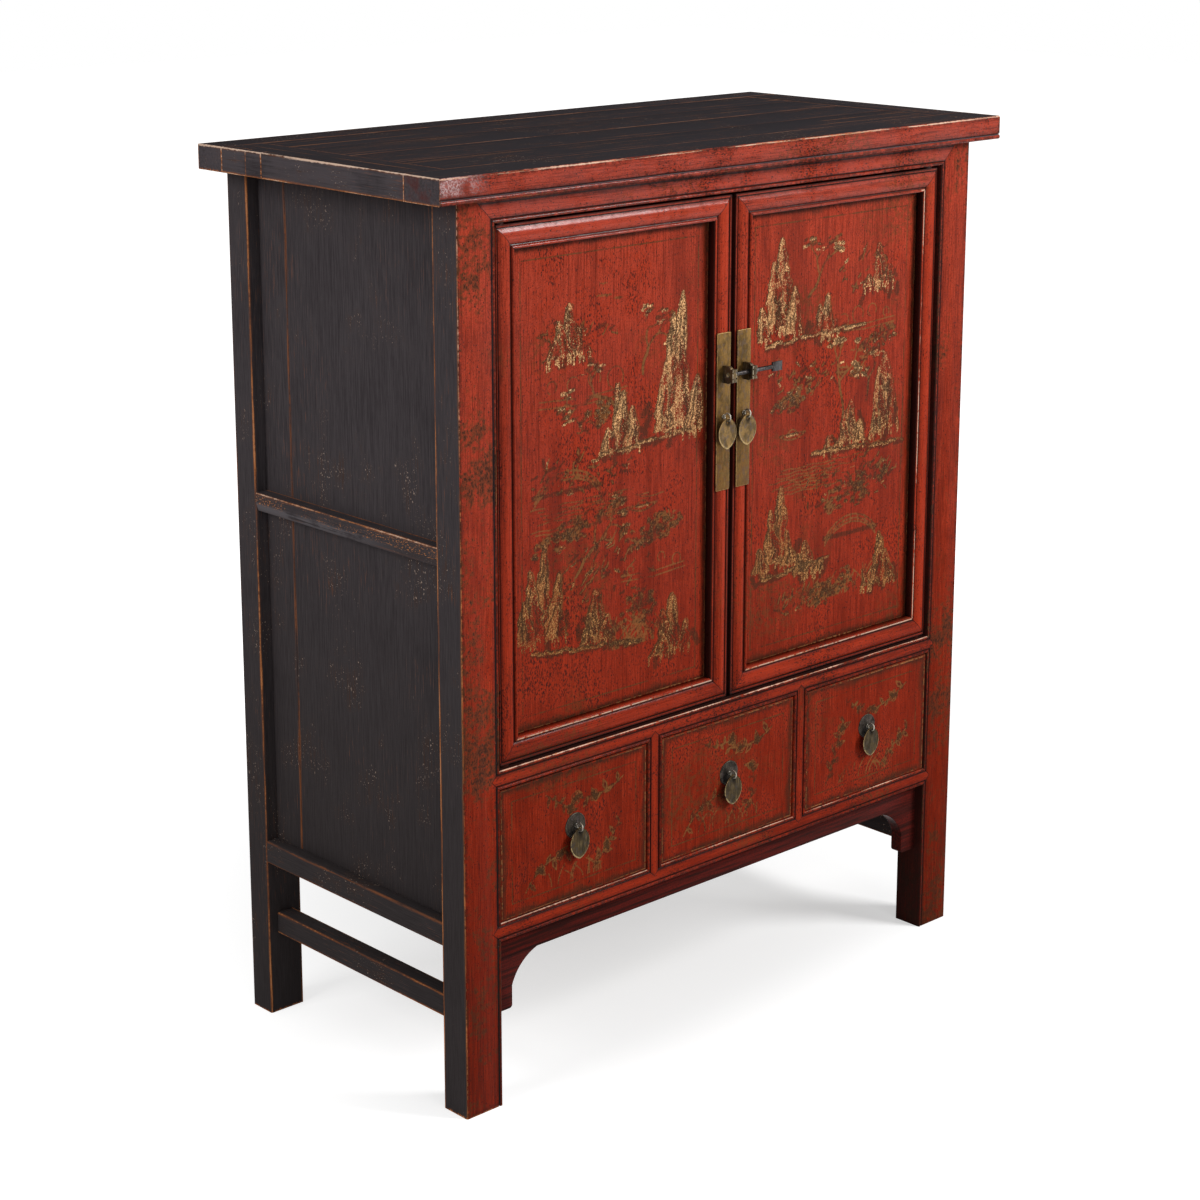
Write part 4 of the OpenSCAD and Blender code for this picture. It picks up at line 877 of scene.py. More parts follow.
def axis_coat(normal: Vector, across: float, coats: "Coats") -> Coat:
    """Finds what covers a face.

    Args:
        normal: direction that the face looks in.
        across: the face's place across the cabinet.
        coats: covering of each side of the piece.

    Returns:
        The covering.
    """
    outward = normal[0] * (1 if across > 0 else -1)
    seen = {}
    for coat, share in (
        (coats.front, -normal[1] * 1.15), (coats.back, normal[1]), (coats.outer, outward),
        (coats.inner, -outward), (coats.top, normal[2]), (coats.under, -normal[2]),
    ):
        seen[coat] = max(share, seen.get(coat, share))
    return max(seen, key=seen.get)


@dataclass(frozen=True)
class Coats:
    """Covering of each side of a piece; outer looks away from the cabinet's middle."""

    front: Coat = Coat.BARE
    back: Coat = Coat.BARE
    outer: Coat = Coat.BARE
    inner: Coat = Coat.BARE
    top: Coat = Coat.BARE
    under: Coat = Coat.BARE


def mark(
    mesh: bpy.types.Mesh,
    name: str,
    coats: Coats | None = None,
    box: tuple[Sequence[float], Sequence[float]] | None = None,
    along: int | None = None,
) -> None:
    """Writes what the materials read: grain, box and covering.

    Args:
        mesh: the mesh to mark.
        name: seed for the grain's place.
        coats: covering of its sides, or None on metal.
        box: one box for the whole mesh, or None for one per separate solid.
        along: axis of the grain, or None for the longest one.
    """
    count = len(mesh.vertices)
    place = np.empty(count * 3, np.float32)
    mesh.vertices.foreach_get("co", place)
    place = place.reshape(-1, 3)
    label = np.zeros(count, np.int64) if box else solids(mesh)
    grain, low, high = (np.zeros((count, 3), np.float32) for _ in range(3))
    rng = random.Random(zlib.crc32(name.encode()))
    for index in range(label.max() + 1):
        inside = label == index
        here = place[inside]
        lo, hi = (here.min(0), here.max(0)) if box is None else map(np.array, box)
        axis = int(np.argmax(hi - lo)) if along is None else along
        order = [axis, (axis + 1) % 3, (axis + 2) % 3]
        shift = np.array([rng.uniform(0, 40) for _ in range(3)], np.float32)
        grain[inside] = here[:, order] + shift
        low[inside], high[inside] = lo, hi
    for key, values in (("grain", grain), ("lo", low), ("hi", high)):
        store(mesh, key, values)
    if coats is not None:
        shares = [axis_coat(p.normal, p.center.x, coats).value for p in mesh.polygons]
        store(mesh, "coat", shares, "FACE")


def store(mesh: bpy.types.Mesh, name: str, values: Any, domain: str = "POINT") -> None:
    """Stores a number or a vector for each point or face of a mesh.

    Args:
        mesh: the mesh.
        name: name of the attribute.
        values: one row for each point or face.
        domain: POINT or FACE.
    """
    flat = np.asarray(values, np.float32)
    kind, key = ("FLOAT_VECTOR", "vector") if flat.ndim == 2 else ("FLOAT", "value")
    mesh.attributes.new(name, kind, domain).data.foreach_set(key, flat.ravel())


def solids(mesh: bpy.types.Mesh) -> np.ndarray:
    """Numbers the separate solids of a mesh.

    Args:
        mesh: the mesh.

    Returns:
        The number of the solid of each vertex.
    """
    parent = list(range(len(mesh.vertices)))

    def root(i: int) -> int:
        """Finds the first vertex of a vertex's solid."""
        while parent[i] != i:
            parent[i] = parent[parent[i]]
            i = parent[i]
        return i

    for edge in mesh.edges:
        a, b = (root(v) for v in edge.vertices)
        parent[max(a, b)] = min(a, b)
    roots = [root(i) for i in range(len(parent))]
    order = {r: n for n, r in enumerate(sorted(set(roots)))}
    return np.array([order[r] for r in roots])


def piece(
    name: str,
    mesh: bpy.types.Mesh,
    material: bpy.types.Material,
    body: str,
    nodes: Sequence[str] = (),
) -> bpy.types.Object:
    """Puts a finished mesh into the scene.

    Args:
        name: name of the piece.
        mesh: its mesh, in place.
        material: its material.
        body: the body that it moves with.
        nodes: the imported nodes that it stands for.

    Returns:
        The object.
    """
    mesh.materials.clear()
    mesh.materials.append(material)
    made = bpy.data.objects.new(name, mesh)
    bpy.context.scene.collection.objects.link(made)
    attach(made, body)
    if nodes:
        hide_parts(*nodes)
    log.info("%s: %d faces on %s", name, len(mesh.polygons), body)
    return made


def body_of(node: str) -> str:
    """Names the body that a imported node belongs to."""
    return frame["nodes"][node]["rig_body"]


def smooth(mesh: bpy.types.Mesh, angle: float = 28.0) -> None:
    """Shades a mesh smooth, apart from edges sharper than the angle in degrees."""
    mesh.shade_smooth()
    mesh.set_sharp_from_angle(angle=math.radians(angle))


def closed_mesh(
    name: str, verts: Sequence[Point], faces: Sequence[Sequence[int]]
) -> bpy.types.Mesh:
    """Makes a rounded mesh whose faces all look outward.

    Args:
        name: name of the mesh.
        verts: its points.
        faces: the points of each face.

    Returns:
        The mesh.
    """
    mesh = bpy.data.meshes.new(name)
    mesh.from_pydata(verts, [], faces)
    bm = bmesh.new()
    bm.from_mesh(mesh)
    bmesh.ops.recalc_face_normals(bm, faces=bm.faces)
    bm.to_mesh(mesh)
    bm.free()
    smooth(mesh, 40.0)
    return mesh


def eased_copy(node: str, bevel: float) -> bpy.types.Mesh:
    """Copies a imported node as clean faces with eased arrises.

    Args:
        node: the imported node.
        bevel: width of the eased arris, or 0 to leave a moulded piece as it is.

    Returns:
        The new mesh.
    """
    bm = bmesh.new()
    bm.from_mesh(frame["nodes"][node].data)
    bmesh.ops.remove_doubles(bm, verts=bm.verts, dist=WELD)
    bmesh.ops.dissolve_limit(
        bm, angle_limit=FLAT, verts=bm.verts, edges=bm.edges, delimit={"NORMAL"}
    )
    if bevel:
        sharp = [
            e for e in bm.edges
            if len(e.link_faces) == 2 and e.is_convex and e.calc_face_angle(0.0) > SHARP
        ]
        bmesh.ops.bevel(
            bm, geom=sharp, offset=bevel, segments=2, profile=0.5, affect="EDGES",
            clamp_overlap=True,
        )
    mesh = bpy.data.meshes.new(node)
    bm.to_mesh(mesh)
    bm.free()
    smooth(mesh)
    return mesh


RED_FRONT = Coats(Coat.RED, Coat.BARE, *[Coat.RED] * 4)
DEEP_FRONT = Coats(Coat.DEEP, Coat.BARE, *[Coat.DEEP] * 4)
POST_COATS = Coats(Coat.RED, Coat.BLACK, Coat.BLACK, Coat.RED)
ALL_BLACK = Coats(*[Coat.BLACK] * 6)
BLACK_OUT = Coats(*[Coat.BLACK] * 3, Coat.BARE, *[Coat.BLACK] * 2)
BLACK_TOP = Coats(*[Coat.BLACK] * 5)
BLACK_BACK = Coats(Coat.BARE, *[Coat.BLACK] * 5)
SLAB_COATS = Coats(Coat.RED, *[Coat.BLACK] * 4, Coat.RED)
BARE = Coats()


class Finishes:
    """Every material, built once."""

    def __init__(self) -> None:
        """Builds the materials."""
        self.wood = {
            profile: Lacquer(
                f"red_lacquer_{profile.name.lower()}", profile=profile,
                wear=0.5 if profile in (Profile.POST, Profile.SLAB) else 0.12,
            ).build()
            for profile in Profile if profile is not Profile.SIDE
        }
        self.wood[Profile.SIDE] = self._black("side_rail", profile=Profile.SIDE, wear=0.5)
        self.black = self._black("worn")
        self.boards = self._black("boards", wear=0.1)
        self.frame_top = self._black("top_frame", gloss=0.001, rough=0.65)
        self.top = self._black("top", gloss=0.001, rough=0.7, wear=0.5)
        self.deep = Lacquer("deep_red_lacquer", (Coat.DEEP, Coat.BARE)).build()
        self.bare = Lacquer("bare_wood_old", (Coat.BARE,), gloss=0.15, rough=0.6).build()
        self.painted = Lacquer("painted_lacquer", (Coat.RED,), painted=True).build()
        self.brass = Metal(
            "aged_brass", (0.19, 0.115, 0.042), (0.075, 0.048, 0.020), (0.42, 0.30, 0.14)
        ).build()
        self.low_brass = Metal(
            "drawer_brass", (0.056, 0.038, 0.017), (0.026, 0.019, 0.010), (0.34, 0.25, 0.12),
            (0.040, 0.034, 0.032),
        ).build()
        # The lock plates carry a warm painted reflection low down
        self.plate = Metal(
            "plate_brass", (0.142, 0.079, 0.023), (0.062, 0.037, 0.013), (0.38, 0.25, 0.10),
            (0.082, 0.057, 0.046), (0.125, 0.050, 0.007),
        ).build()
        # The lug's pale rubbed colour also stands for painted highlights on its edges
        self.lug = Metal(
            "lug_brass", (0.105, 0.070, 0.032), (0.035, 0.025, 0.014), (0.62, 0.54, 0.40)
        ).build()
        self.dark = Metal(
            "blackened_brass", (0.045, 0.036, 0.028), (0.016, 0.013, 0.011), (0.14, 0.11, 0.07)
        ).build()
        self.steel = Metal(
            "pin_steel", (0.060, 0.057, 0.058), (0.022, 0.019, 0.018), (0.26, 0.26, 0.27),
            rough=0.36,
        ).build()
        self.silver = Metal(
            "rubbed_brass", (0.36, 0.33, 0.27), (0.12, 0.10, 0.07), (0.75, 0.73, 0.68)
        ).build()

    @staticmethod
    def _black(
        name: str, gloss: float = 0.015, rough: float = 0.62, **fixed: Any
    ) -> bpy.types.Material:
        """Builds a black lacquer with bare wood where it was never covered."""
        coats = (Coat.BLACK, Coat.BARE)
        return Lacquer(
            f"black_lacquer_{name}", coats, gloss=gloss, rough=rough, **fixed
        ).build()

    def cover(self, coats: Coats) -> bpy.types.Material:
        """Gives the material of a plain piece with those coverings."""
        found = {coats.front, coats.outer, coats.top, coats.back}
        if Coat.RED in found:
            return self.wood[Profile.PLAIN]
        if Coat.DEEP in found:
            return self.deep
        if coats is BLACK_OUT:
            return self.boards
        if coats is BLACK_TOP:
            return self.frame_top
        return self.black if Coat.BLACK in found else self.bare


@dataclass
class Timber:
    """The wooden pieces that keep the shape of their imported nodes."""

    finishes: Finishes
    bevel: float = 0.9 * MM
    moulded: dict[str, tuple[Profile, Coats]] = field(default_factory=lambda: {
        "top_front_rail": (Profile.SLAB, SLAB_COATS),
        "front_left_post": (Profile.POST, POST_COATS),
        "front_right_post": (Profile.POST, POST_COATS),
        "front_top_rail": (Profile.RAIL, RED_FRONT),
        "front_middle_rail": (Profile.RAIL, RED_FRONT),
        "front_bottom_rail": (Profile.RAIL, RED_FRONT),
        "drawer_dividers": (Profile.UPRIGHT, RED_FRONT),
        "side_middle_rails": (Profile.SIDE, ALL_BLACK),
    })
    plain: dict[str, Coats] = field(default_factory=lambda: {
        "top_back_rail": BLACK_TOP, "top_left_rail": BLACK_TOP, "top_right_rail": BLACK_TOP,
        "top_braces": BARE,
        "back_left_post": ALL_BLACK, "back_right_post": ALL_BLACK,
        "front_apron": DEEP_FRONT,
        "left_apron_bracket": DEEP_FRONT, "right_apron_bracket": DEEP_FRONT,
        "side_top_rails": BARE,
        "side_bottom_rails": BLACK_OUT, "side_stretchers": ALL_BLACK,
        "left_side_boards": BLACK_OUT, "right_side_boards": BLACK_OUT,
        "back_rails": BLACK_BACK,
        "cupboard_floor": BARE, "case_bottom": BARE, "shelf": BARE,
        "shelf_bearers": BARE, "drawer_guides": BARE,
    })

    def build(self) -> None:
        """Builds the case, the door frames and the drawers."""
        for node, (profile, coats) in self.moulded.items():
            self._one(node, coats, self.finishes.wood[profile], 0.0)
        for node, coats in self.plain.items():
            self._one(node, coats, self.finishes.cover(coats), self.bevel)
        for side in SIDES:
            door = self._door_box(side)
            for part in ("hinge_stile", "meeting_stile", "top_rail", "bottom_rail"):
                node = f"{side}_door_{part}"
                self._one(node, RED_FRONT, self.finishes.wood[Profile.DOOR], 0.0, door)
            panel = f"{side}_door_panel"
            self._one(panel, RED_FRONT, self.finishes.cover(RED_FRONT), 0.0)
        for name in DRAWERS:
            front = f"{name}_drawer_front"
            self._one(front, RED_FRONT, self.finishes.cover(RED_FRONT), self.bevel)
            self._one(f"{name}_drawer_box", BARE, self.finishes.cover(BARE), self.bevel)

    def _one(
        self,
        node: str,
        coats: Coats,
        material: bpy.types.Material,
        bevel: float,
        box: tuple[Vector, Vector] | None = None,
    ) -> None:
        """Builds one wooden piece.

        Args:
            node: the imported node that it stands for.
            coats: covering of its sides.
            material: its material.
            bevel: width of its eased arrises.
            box: the box that its moulding is measured from, if not its own.
        """
        mesh = eased_copy(node, bevel)
        along = None
        if box is not None:
            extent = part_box(node)[1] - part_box(node)[0]
            along = max(range(3), key=lambda axis: extent[axis])
        mark(mesh, node, coats, box, along)
        made = piece(f"{node}.finished", mesh, material, body_of(node), [node])
        if coats.outer is Coat.BLACK and coats.front is Coat.RED:
            slab = material is self.finishes.wood[Profile.SLAB]
            outer = self.finishes.frame_top if slab else self.finishes.black
            made.data.materials.append(outer)
            shares = np.empty(len(made.data.polygons) * 3, np.float32)
            made.data.attributes["coat"].data.foreach_get("vector", shares)
            picked = (shares.reshape(-1, 3)[:, 0] > 0.5).astype(np.int32)
            made.data.polygons.foreach_set("material_index", picked)

    def _door_box(self, side: str) -> tuple[Vector, Vector]:
        """Gives the outline of a door without its pivots.

        Args:
            side: left or right.

        Returns:
            Lowest and highest corner.
        """
        low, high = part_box(f"{side}_door_bottom_rail")
        rail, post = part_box(f"{side}_door_meeting_stile")
        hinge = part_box(f"{side}_door_hinge_stile")
        return (
            Vector((min(rail.x, hinge[0].x), low.y - 1.0, rail.z)),
            Vector((max(post.x, hinge[1].x), high.y + 1.0, post.z)),
        )


class Growth(Tree):
    """A Geometry Nodes tree with named inputs, which ends in one material."""

    def __init__(self, name: str, inputs: dict[str, float]) -> None:
        """Makes the tree.

        Args:
            name: name of the node group.
            inputs: its inputs and what they are at first.
        """
        super().__init__(bpy.data.node_groups.new(name, "GeometryNodeTree"))
        face = self.tree.interface
        for label, value in inputs.items():
            kind = "NodeSocketInt" if isinstance(value, int) else "NodeSocketFloat"
            made = face.new_socket(label, in_out="INPUT", socket_type=kind)
            made.default_value = value
        face.new_socket("Geometry", in_out="OUTPUT", socket_type="NodeSocketGeometry")
        given = self.tree.nodes.new("NodeGroupInput").outputs
        self.given = [Wire(self, given[i]) for i in range(len(inputs))]

    def point(self, axis: int, value: Wire) -> Wire:
        """Gives a point on one axis."""
        return self.node("ShaderNodeCombineXYZ", {}, {axis: value})

    def line(self, axis: int, start: Wire, end: Wire) -> Wire:
        """Gives a straight curve along one axis."""
        ends = {"Start": self.point(axis, start), "End": self.point(axis, end)}
        return self.node("GeometryNodeCurvePrimitiveLine", {}, ends)

    def circle(self, steps: int, radius: Wire) -> Wire:
        """Gives a circle round the origin."""
        inputs = {"Resolution": steps, "Radius": radius}
        return self.node("GeometryNodeCurvePrimitiveCircle", {}, inputs)

    def sweep(self, curve: Wire, outline: Wire, caps: bool = True) -> Wire:
        """Sweeps an outline along a curve."""
        inputs = {"Curve": curve, "Profile Curve": outline, "Fill Caps": caps}
        return self.node("GeometryNodeCurveToMesh", {}, inputs)

    def end(self, shape: Wire, material: bpy.types.Material) -> bpy.types.GeometryNodeTree:
        """Ends the tree in Realize Instances and Set Material."""
        shape = self.node("GeometryNodeRealizeInstances", {}, {0: shape})
        inputs = {"Geometry": shape, "Material": material}
        shape = self.node("GeometryNodeSetMaterial", {}, inputs)
        out = self.tree.nodes.new("NodeGroupOutput")
        self.tree.links.new(shape.socket, out.inputs[0])
        return self.tree


def boards_tree(material: bpy.types.Material) -> bpy.types.GeometryNodeTree:
    """Builds the tree that lays rounded boards side by side.

    Args:
        material: material of the boards.

    Returns:
        The node group.
    """
    t = Growth("board_row", {
        "Count": 4, "Length": 1.0, "Width": 0.1, "Thickness": 10 * MM, "Round": 1 * MM,
        "Sink": 0.4 * MM, "Seed": 1,
    })
    count, length, width, thickness, rounding, sink, seed = t.given
    half = length * 0.5
    outline = t.node("GeometryNodeCurvePrimitiveQuadrilateral", {}, {0: width, 1: thickness})
    outline = t.node(
        "GeometryNodeFilletCurve", {"mode": "POLY"},
        {"Curve": outline, "Count": 2, "Radius": rounding},
    )
    board = t.sweep(t.line(0, half * -1.0, half), outline)
    first, step = t.point(1, (count - 1.0) * width * -0.5), t.point(1, width)
    row = t.node(
        "GeometryNodeMeshLine", {}, {"Count": count, "Start Location": first, "Offset": step}
    )
    lift = t.node(
        "FunctionNodeRandomValue", {"data_type": "FLOAT"},
        {2: sink * -1.0, 3: 0.0, "Seed": seed}, 1,
    )
    row = t.node("GeometryNodeSetPosition", {}, {"Geometry": row, "Offset": t.point(2, lift)})
    laid = t.node("GeometryNodeInstanceOnPoints", {}, {"Points": row, "Instance": board})
    return t.end(laid, material)


def wire_tree(material: bpy.types.Material) -> bpy.types.GeometryNodeTree:
    """Builds the tree of a staple: a wire ring, its neck and the collar at its foot.

    The ring stands on the X and Z axes round the origin, and the neck runs along +Y.

    Args:
        material: material of the wire.

    Returns:
        The node group.
    """
    t = Growth("staple_wire", {
        "Ring Radius": 5.4 * MM, "Wire Radius": 1.2 * MM, "Stand": 8 * MM,
        "Collar Radius": 2.8 * MM, "Collar Height": 1 * MM,
    })
    ring, wire, stand, collar, rise = t.given
    turned = t.node(
        "GeometryNodeTransform", {},
        {"Geometry": t.circle(40, ring), "Rotation": (0.0, math.pi / 2, 0.0)},
    )
    loop = t.sweep(turned, t.circle(14, wire), False)
    neck = t.sweep(t.line(1, ring, stand), t.circle(14, wire))
    foot = t.sweep(t.line(1, stand - rise, stand), t.circle(20, collar))
    joined = t.tree.nodes.new("GeometryNodeJoinGeometry")
    for part in (foot, neck, loop):
        t.tree.links.new(part.socket, joined.inputs[0])
    return t.end(Wire(t, joined.outputs[0]), material)


def grown(
    group: bpy.types.GeometryNodeTree, values: dict[str, Any], place: Matrix
) -> bpy.types.Mesh:
    """Runs a Geometry Nodes tree and keeps its plain mesh.

    Args:
        group: the tree.
        values: its inputs by name.
        place: where the result goes.

    Returns:
        The mesh, in place.
    """
    holder = bpy.data.objects.new("holder", bpy.data.meshes.new("holder"))
    bpy.context.scene.collection.objects.link(holder)
    modifier = holder.modifiers.new("grow", "NODES")
    modifier.node_group = group
    for item in group.interface.items_tree:
        if item.item_type == "SOCKET" and item.in_out == "INPUT" and item.name in values:
            modifier[item.identifier] = values[item.name]
    graph = bpy.context.evaluated_depsgraph_get()
    mesh = bpy.data.meshes.new_from_object(holder.evaluated_get(graph))
    bpy.data.objects.remove(holder)
    mesh.transform(place)
    smooth(mesh)
    return mesh


@dataclass
class BoardRows:
    """The boards of the top and of the back."""

    finishes: Finishes
    top_t: float = 16 * MM
    back_t: float = 9 * MM
    back_count: int = 5
    top_count: int = 4
    rebate: float = 8 * MM
    tongue: float = 10 * MM
    rail_h: float = 32 * MM

    def build(self) -> None:
        """Builds the three rows."""
        group = boards_tree(self.finishes.boards)
        self._keep("top_boards", self._top(group), BLACK_TOP, self.finishes.top)
        self._keep("back_boards", self._back(group), BLACK_BACK, self.finishes.boards)

    @staticmethod
    def _keep(
        node: str, mesh: bpy.types.Mesh, coats: Coats, material: bpy.types.Material
    ) -> None:
        """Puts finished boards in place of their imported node."""
        mark(mesh, node, coats)
        piece(f"{node}.finished", mesh, material, "carcass", [node])

    def _top(self, group: bpy.types.GeometryNodeTree) -> bpy.types.Mesh:
        """Builds the boards inside the frame of the top."""
        left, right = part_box("top_left_rail")[1].x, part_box("top_right_rail")[0].x
        front, back = (corner.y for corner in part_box("top_braces"))
        front, back = front + self.tongue, back - self.tongue
        return grown(
            group,
            {
                "Count": self.top_count, "Length": right - left,
                "Width": (back - front) / self.top_count, "Thickness": self.top_t,
                "Round": 0.9 * MM, "Sink": 0.25 * MM, "Seed": 4,
            },
            Matrix.Translation((0, (front + back) / 2, CASE.total_h - self.top_t / 2)),
        )

    def _back(self, group: bpy.types.GeometryNodeTree) -> bpy.types.Mesh:
        """Builds the two rows of boards in the back."""
        low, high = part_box("back_boards")
        half = -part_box("back_left_post")[1].x
        rails = self._rail_heights()
        turn = Matrix.Rotation(math.pi / 2, 4, "X") @ Matrix.Rotation(math.pi / 2, 4, "Z")
        bm = bmesh.new()
        for bottom, top in zip(rails[:-1], rails[1:]):
            mesh = grown(
                group,
                {
                    "Count": self.back_count,
                    "Length": top[0] - bottom[1] + 2 * self.rebate,
                    "Width": 2 * half / self.back_count, "Thickness": self.back_t,
                    "Round": 0.8 * MM, "Sink": 0.0, "Seed": 9,
                },
                Matrix.Translation((0, (low.y + high.y) / 2, (bottom[1] + top[0]) / 2)) @ turn,
            )
            bm.from_mesh(mesh)
        bm.to_mesh(mesh)
        bm.free()
        smooth(mesh)
        return mesh

    def _rail_heights(self) -> list[tuple[float, float]]:
        """Gives the lower and upper edge of each back rail, from the lowest up."""
        low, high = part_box("back_rails")
        starts = (low.z, CASE.middle[1] - self.rail_h, high.z - self.rail_h)
        return [(start, start + self.rail_h) for start in starts]


class Layer(Enum):
    """What a stroke leaves behind."""

    GILT = "mass"
    WASH = "wash"
    LINE = "line"


class Canvas:
    """A flat field on which strokes leave gilt, dark wash and thin lines."""

    pitch = 1.0 * MM
    # Millimetres to the nearest line where there is none, and how far a line reaches
    far = 9.0
    felt = 6 * MM

    def __init__(self, width: float, height: float) -> None:
        """Makes an empty field of that size."""
        self.width, self.height = width, height
        self.columns = int(width / self.pitch) + 2
        self.rows = int(height / self.pitch) + 2
        shape = (self.rows, self.columns)
        self.layers = {
            layer: np.full(shape, self.far * (layer is Layer.LINE), np.float32)
            for layer in Layer
        }

    def stroke(
        self, a: Sequence[float], b: Sequence[float], radius: float, layer: Layer
    ) -> None:
        """Leaves one straight stroke.

        Args:
            a: its start, from the field's lower left corner.
            b: its end.
            radius: half its width.
            layer: what it is drawn with.
        """
        thin = layer is Layer.LINE
        reach = radius + (self.felt if thin else 0.0)
        first = [int((min(p, q) - reach) / self.pitch) for p, q in zip(a, b)]
        last = [int((max(p, q) + reach) / self.pitch) + 2 for p, q in zip(a, b)]
        c0, r0 = (max(0, v) for v in first)
        c1, r1 = min(self.columns, last[0]), min(self.rows, last[1])
        if c0 >= c1 or r0 >= r1:
            return
        across = np.arange(c0, c1)[None, :] * self.pitch - a[0]
        up = np.arange(r0, r1)[:, None] * self.pitch - a[1]
        dx, dz = b[0] - a[0], b[1] - a[1]
        share = np.clip((across * dx + up * dz) / max(dx * dx + dz * dz, 1e-12), 0, 1)
        away = np.hypot(across - share * dx, up - share * dz)
        window = self.layers[layer][r0:r1, c0:c1]
        if thin:
            np.minimum(window, (away - radius) / MM, out=window)
        else:
            np.maximum(window, np.clip(1.4 - 1.1 * away / radius, 0, 1), out=window)

    def fill(
        self, spans: Iterable[tuple[float, float, float]], layer: Layer, share: float,
        over: bool = False,
    ) -> None:
        """Fills level by level between a left and a right edge.

        Args:
            spans: level, left edge and right edge of each row.
            layer: what it is filled with.
            share: how much of it.
            over: whether it hides what lies under it.
        """
        for level, left, right in spans:
            row = int(level / self.pitch)
            c0, c1 = (min(max(int(v / self.pitch), 0), self.columns) for v in (left, right))
            if not 0 <= row < self.rows:
                continue
            if over:
                self.layers[Layer.LINE][row, c0:c1] = self.far
                self.layers[Layer.WASH][row, c0:c1] *= 0.4
                self.layers[layer][row, c0:c1] = share
            else:
                window = self.layers[layer][row, c0:c1]
                np.maximum(window, share, out=window)

    def path(
        self, points: Sequence[Sequence[float]], radius: float, layer: Layer = Layer.LINE
    ) -> None:
        """Leaves a stroke through several points."""
        for a, b in zip(points[:-1], points[1:]):
            self.stroke(a, b, radius, layer)

    def read(self, layer: Layer, across: np.ndarray, up: np.ndarray) -> np.ndarray:
        """Reads a layer at given places.

        Args:
            layer: the layer.
            across: places from the left edge.
            up: places from the lower edge.

        Returns:
            Gilt or wash from 0 to 1, or millimetres from the nearest line.
        """
        values = self.layers[layer]
        column = np.clip(across / self.pitch, 0, self.columns - 1.001)
        row = np.clip(up / self.pitch, 0, self.rows - 1.001)
        c, r = column.astype(int), row.astype(int)
        u, v = column - c, row - r
        below = values[r, c] * (1 - u) + values[r, c + 1] * u
        above = values[r + 1, c] * (1 - u) + values[r + 1, c + 1] * u
        return (below * (1 - v) + above * v).astype(np.float32)


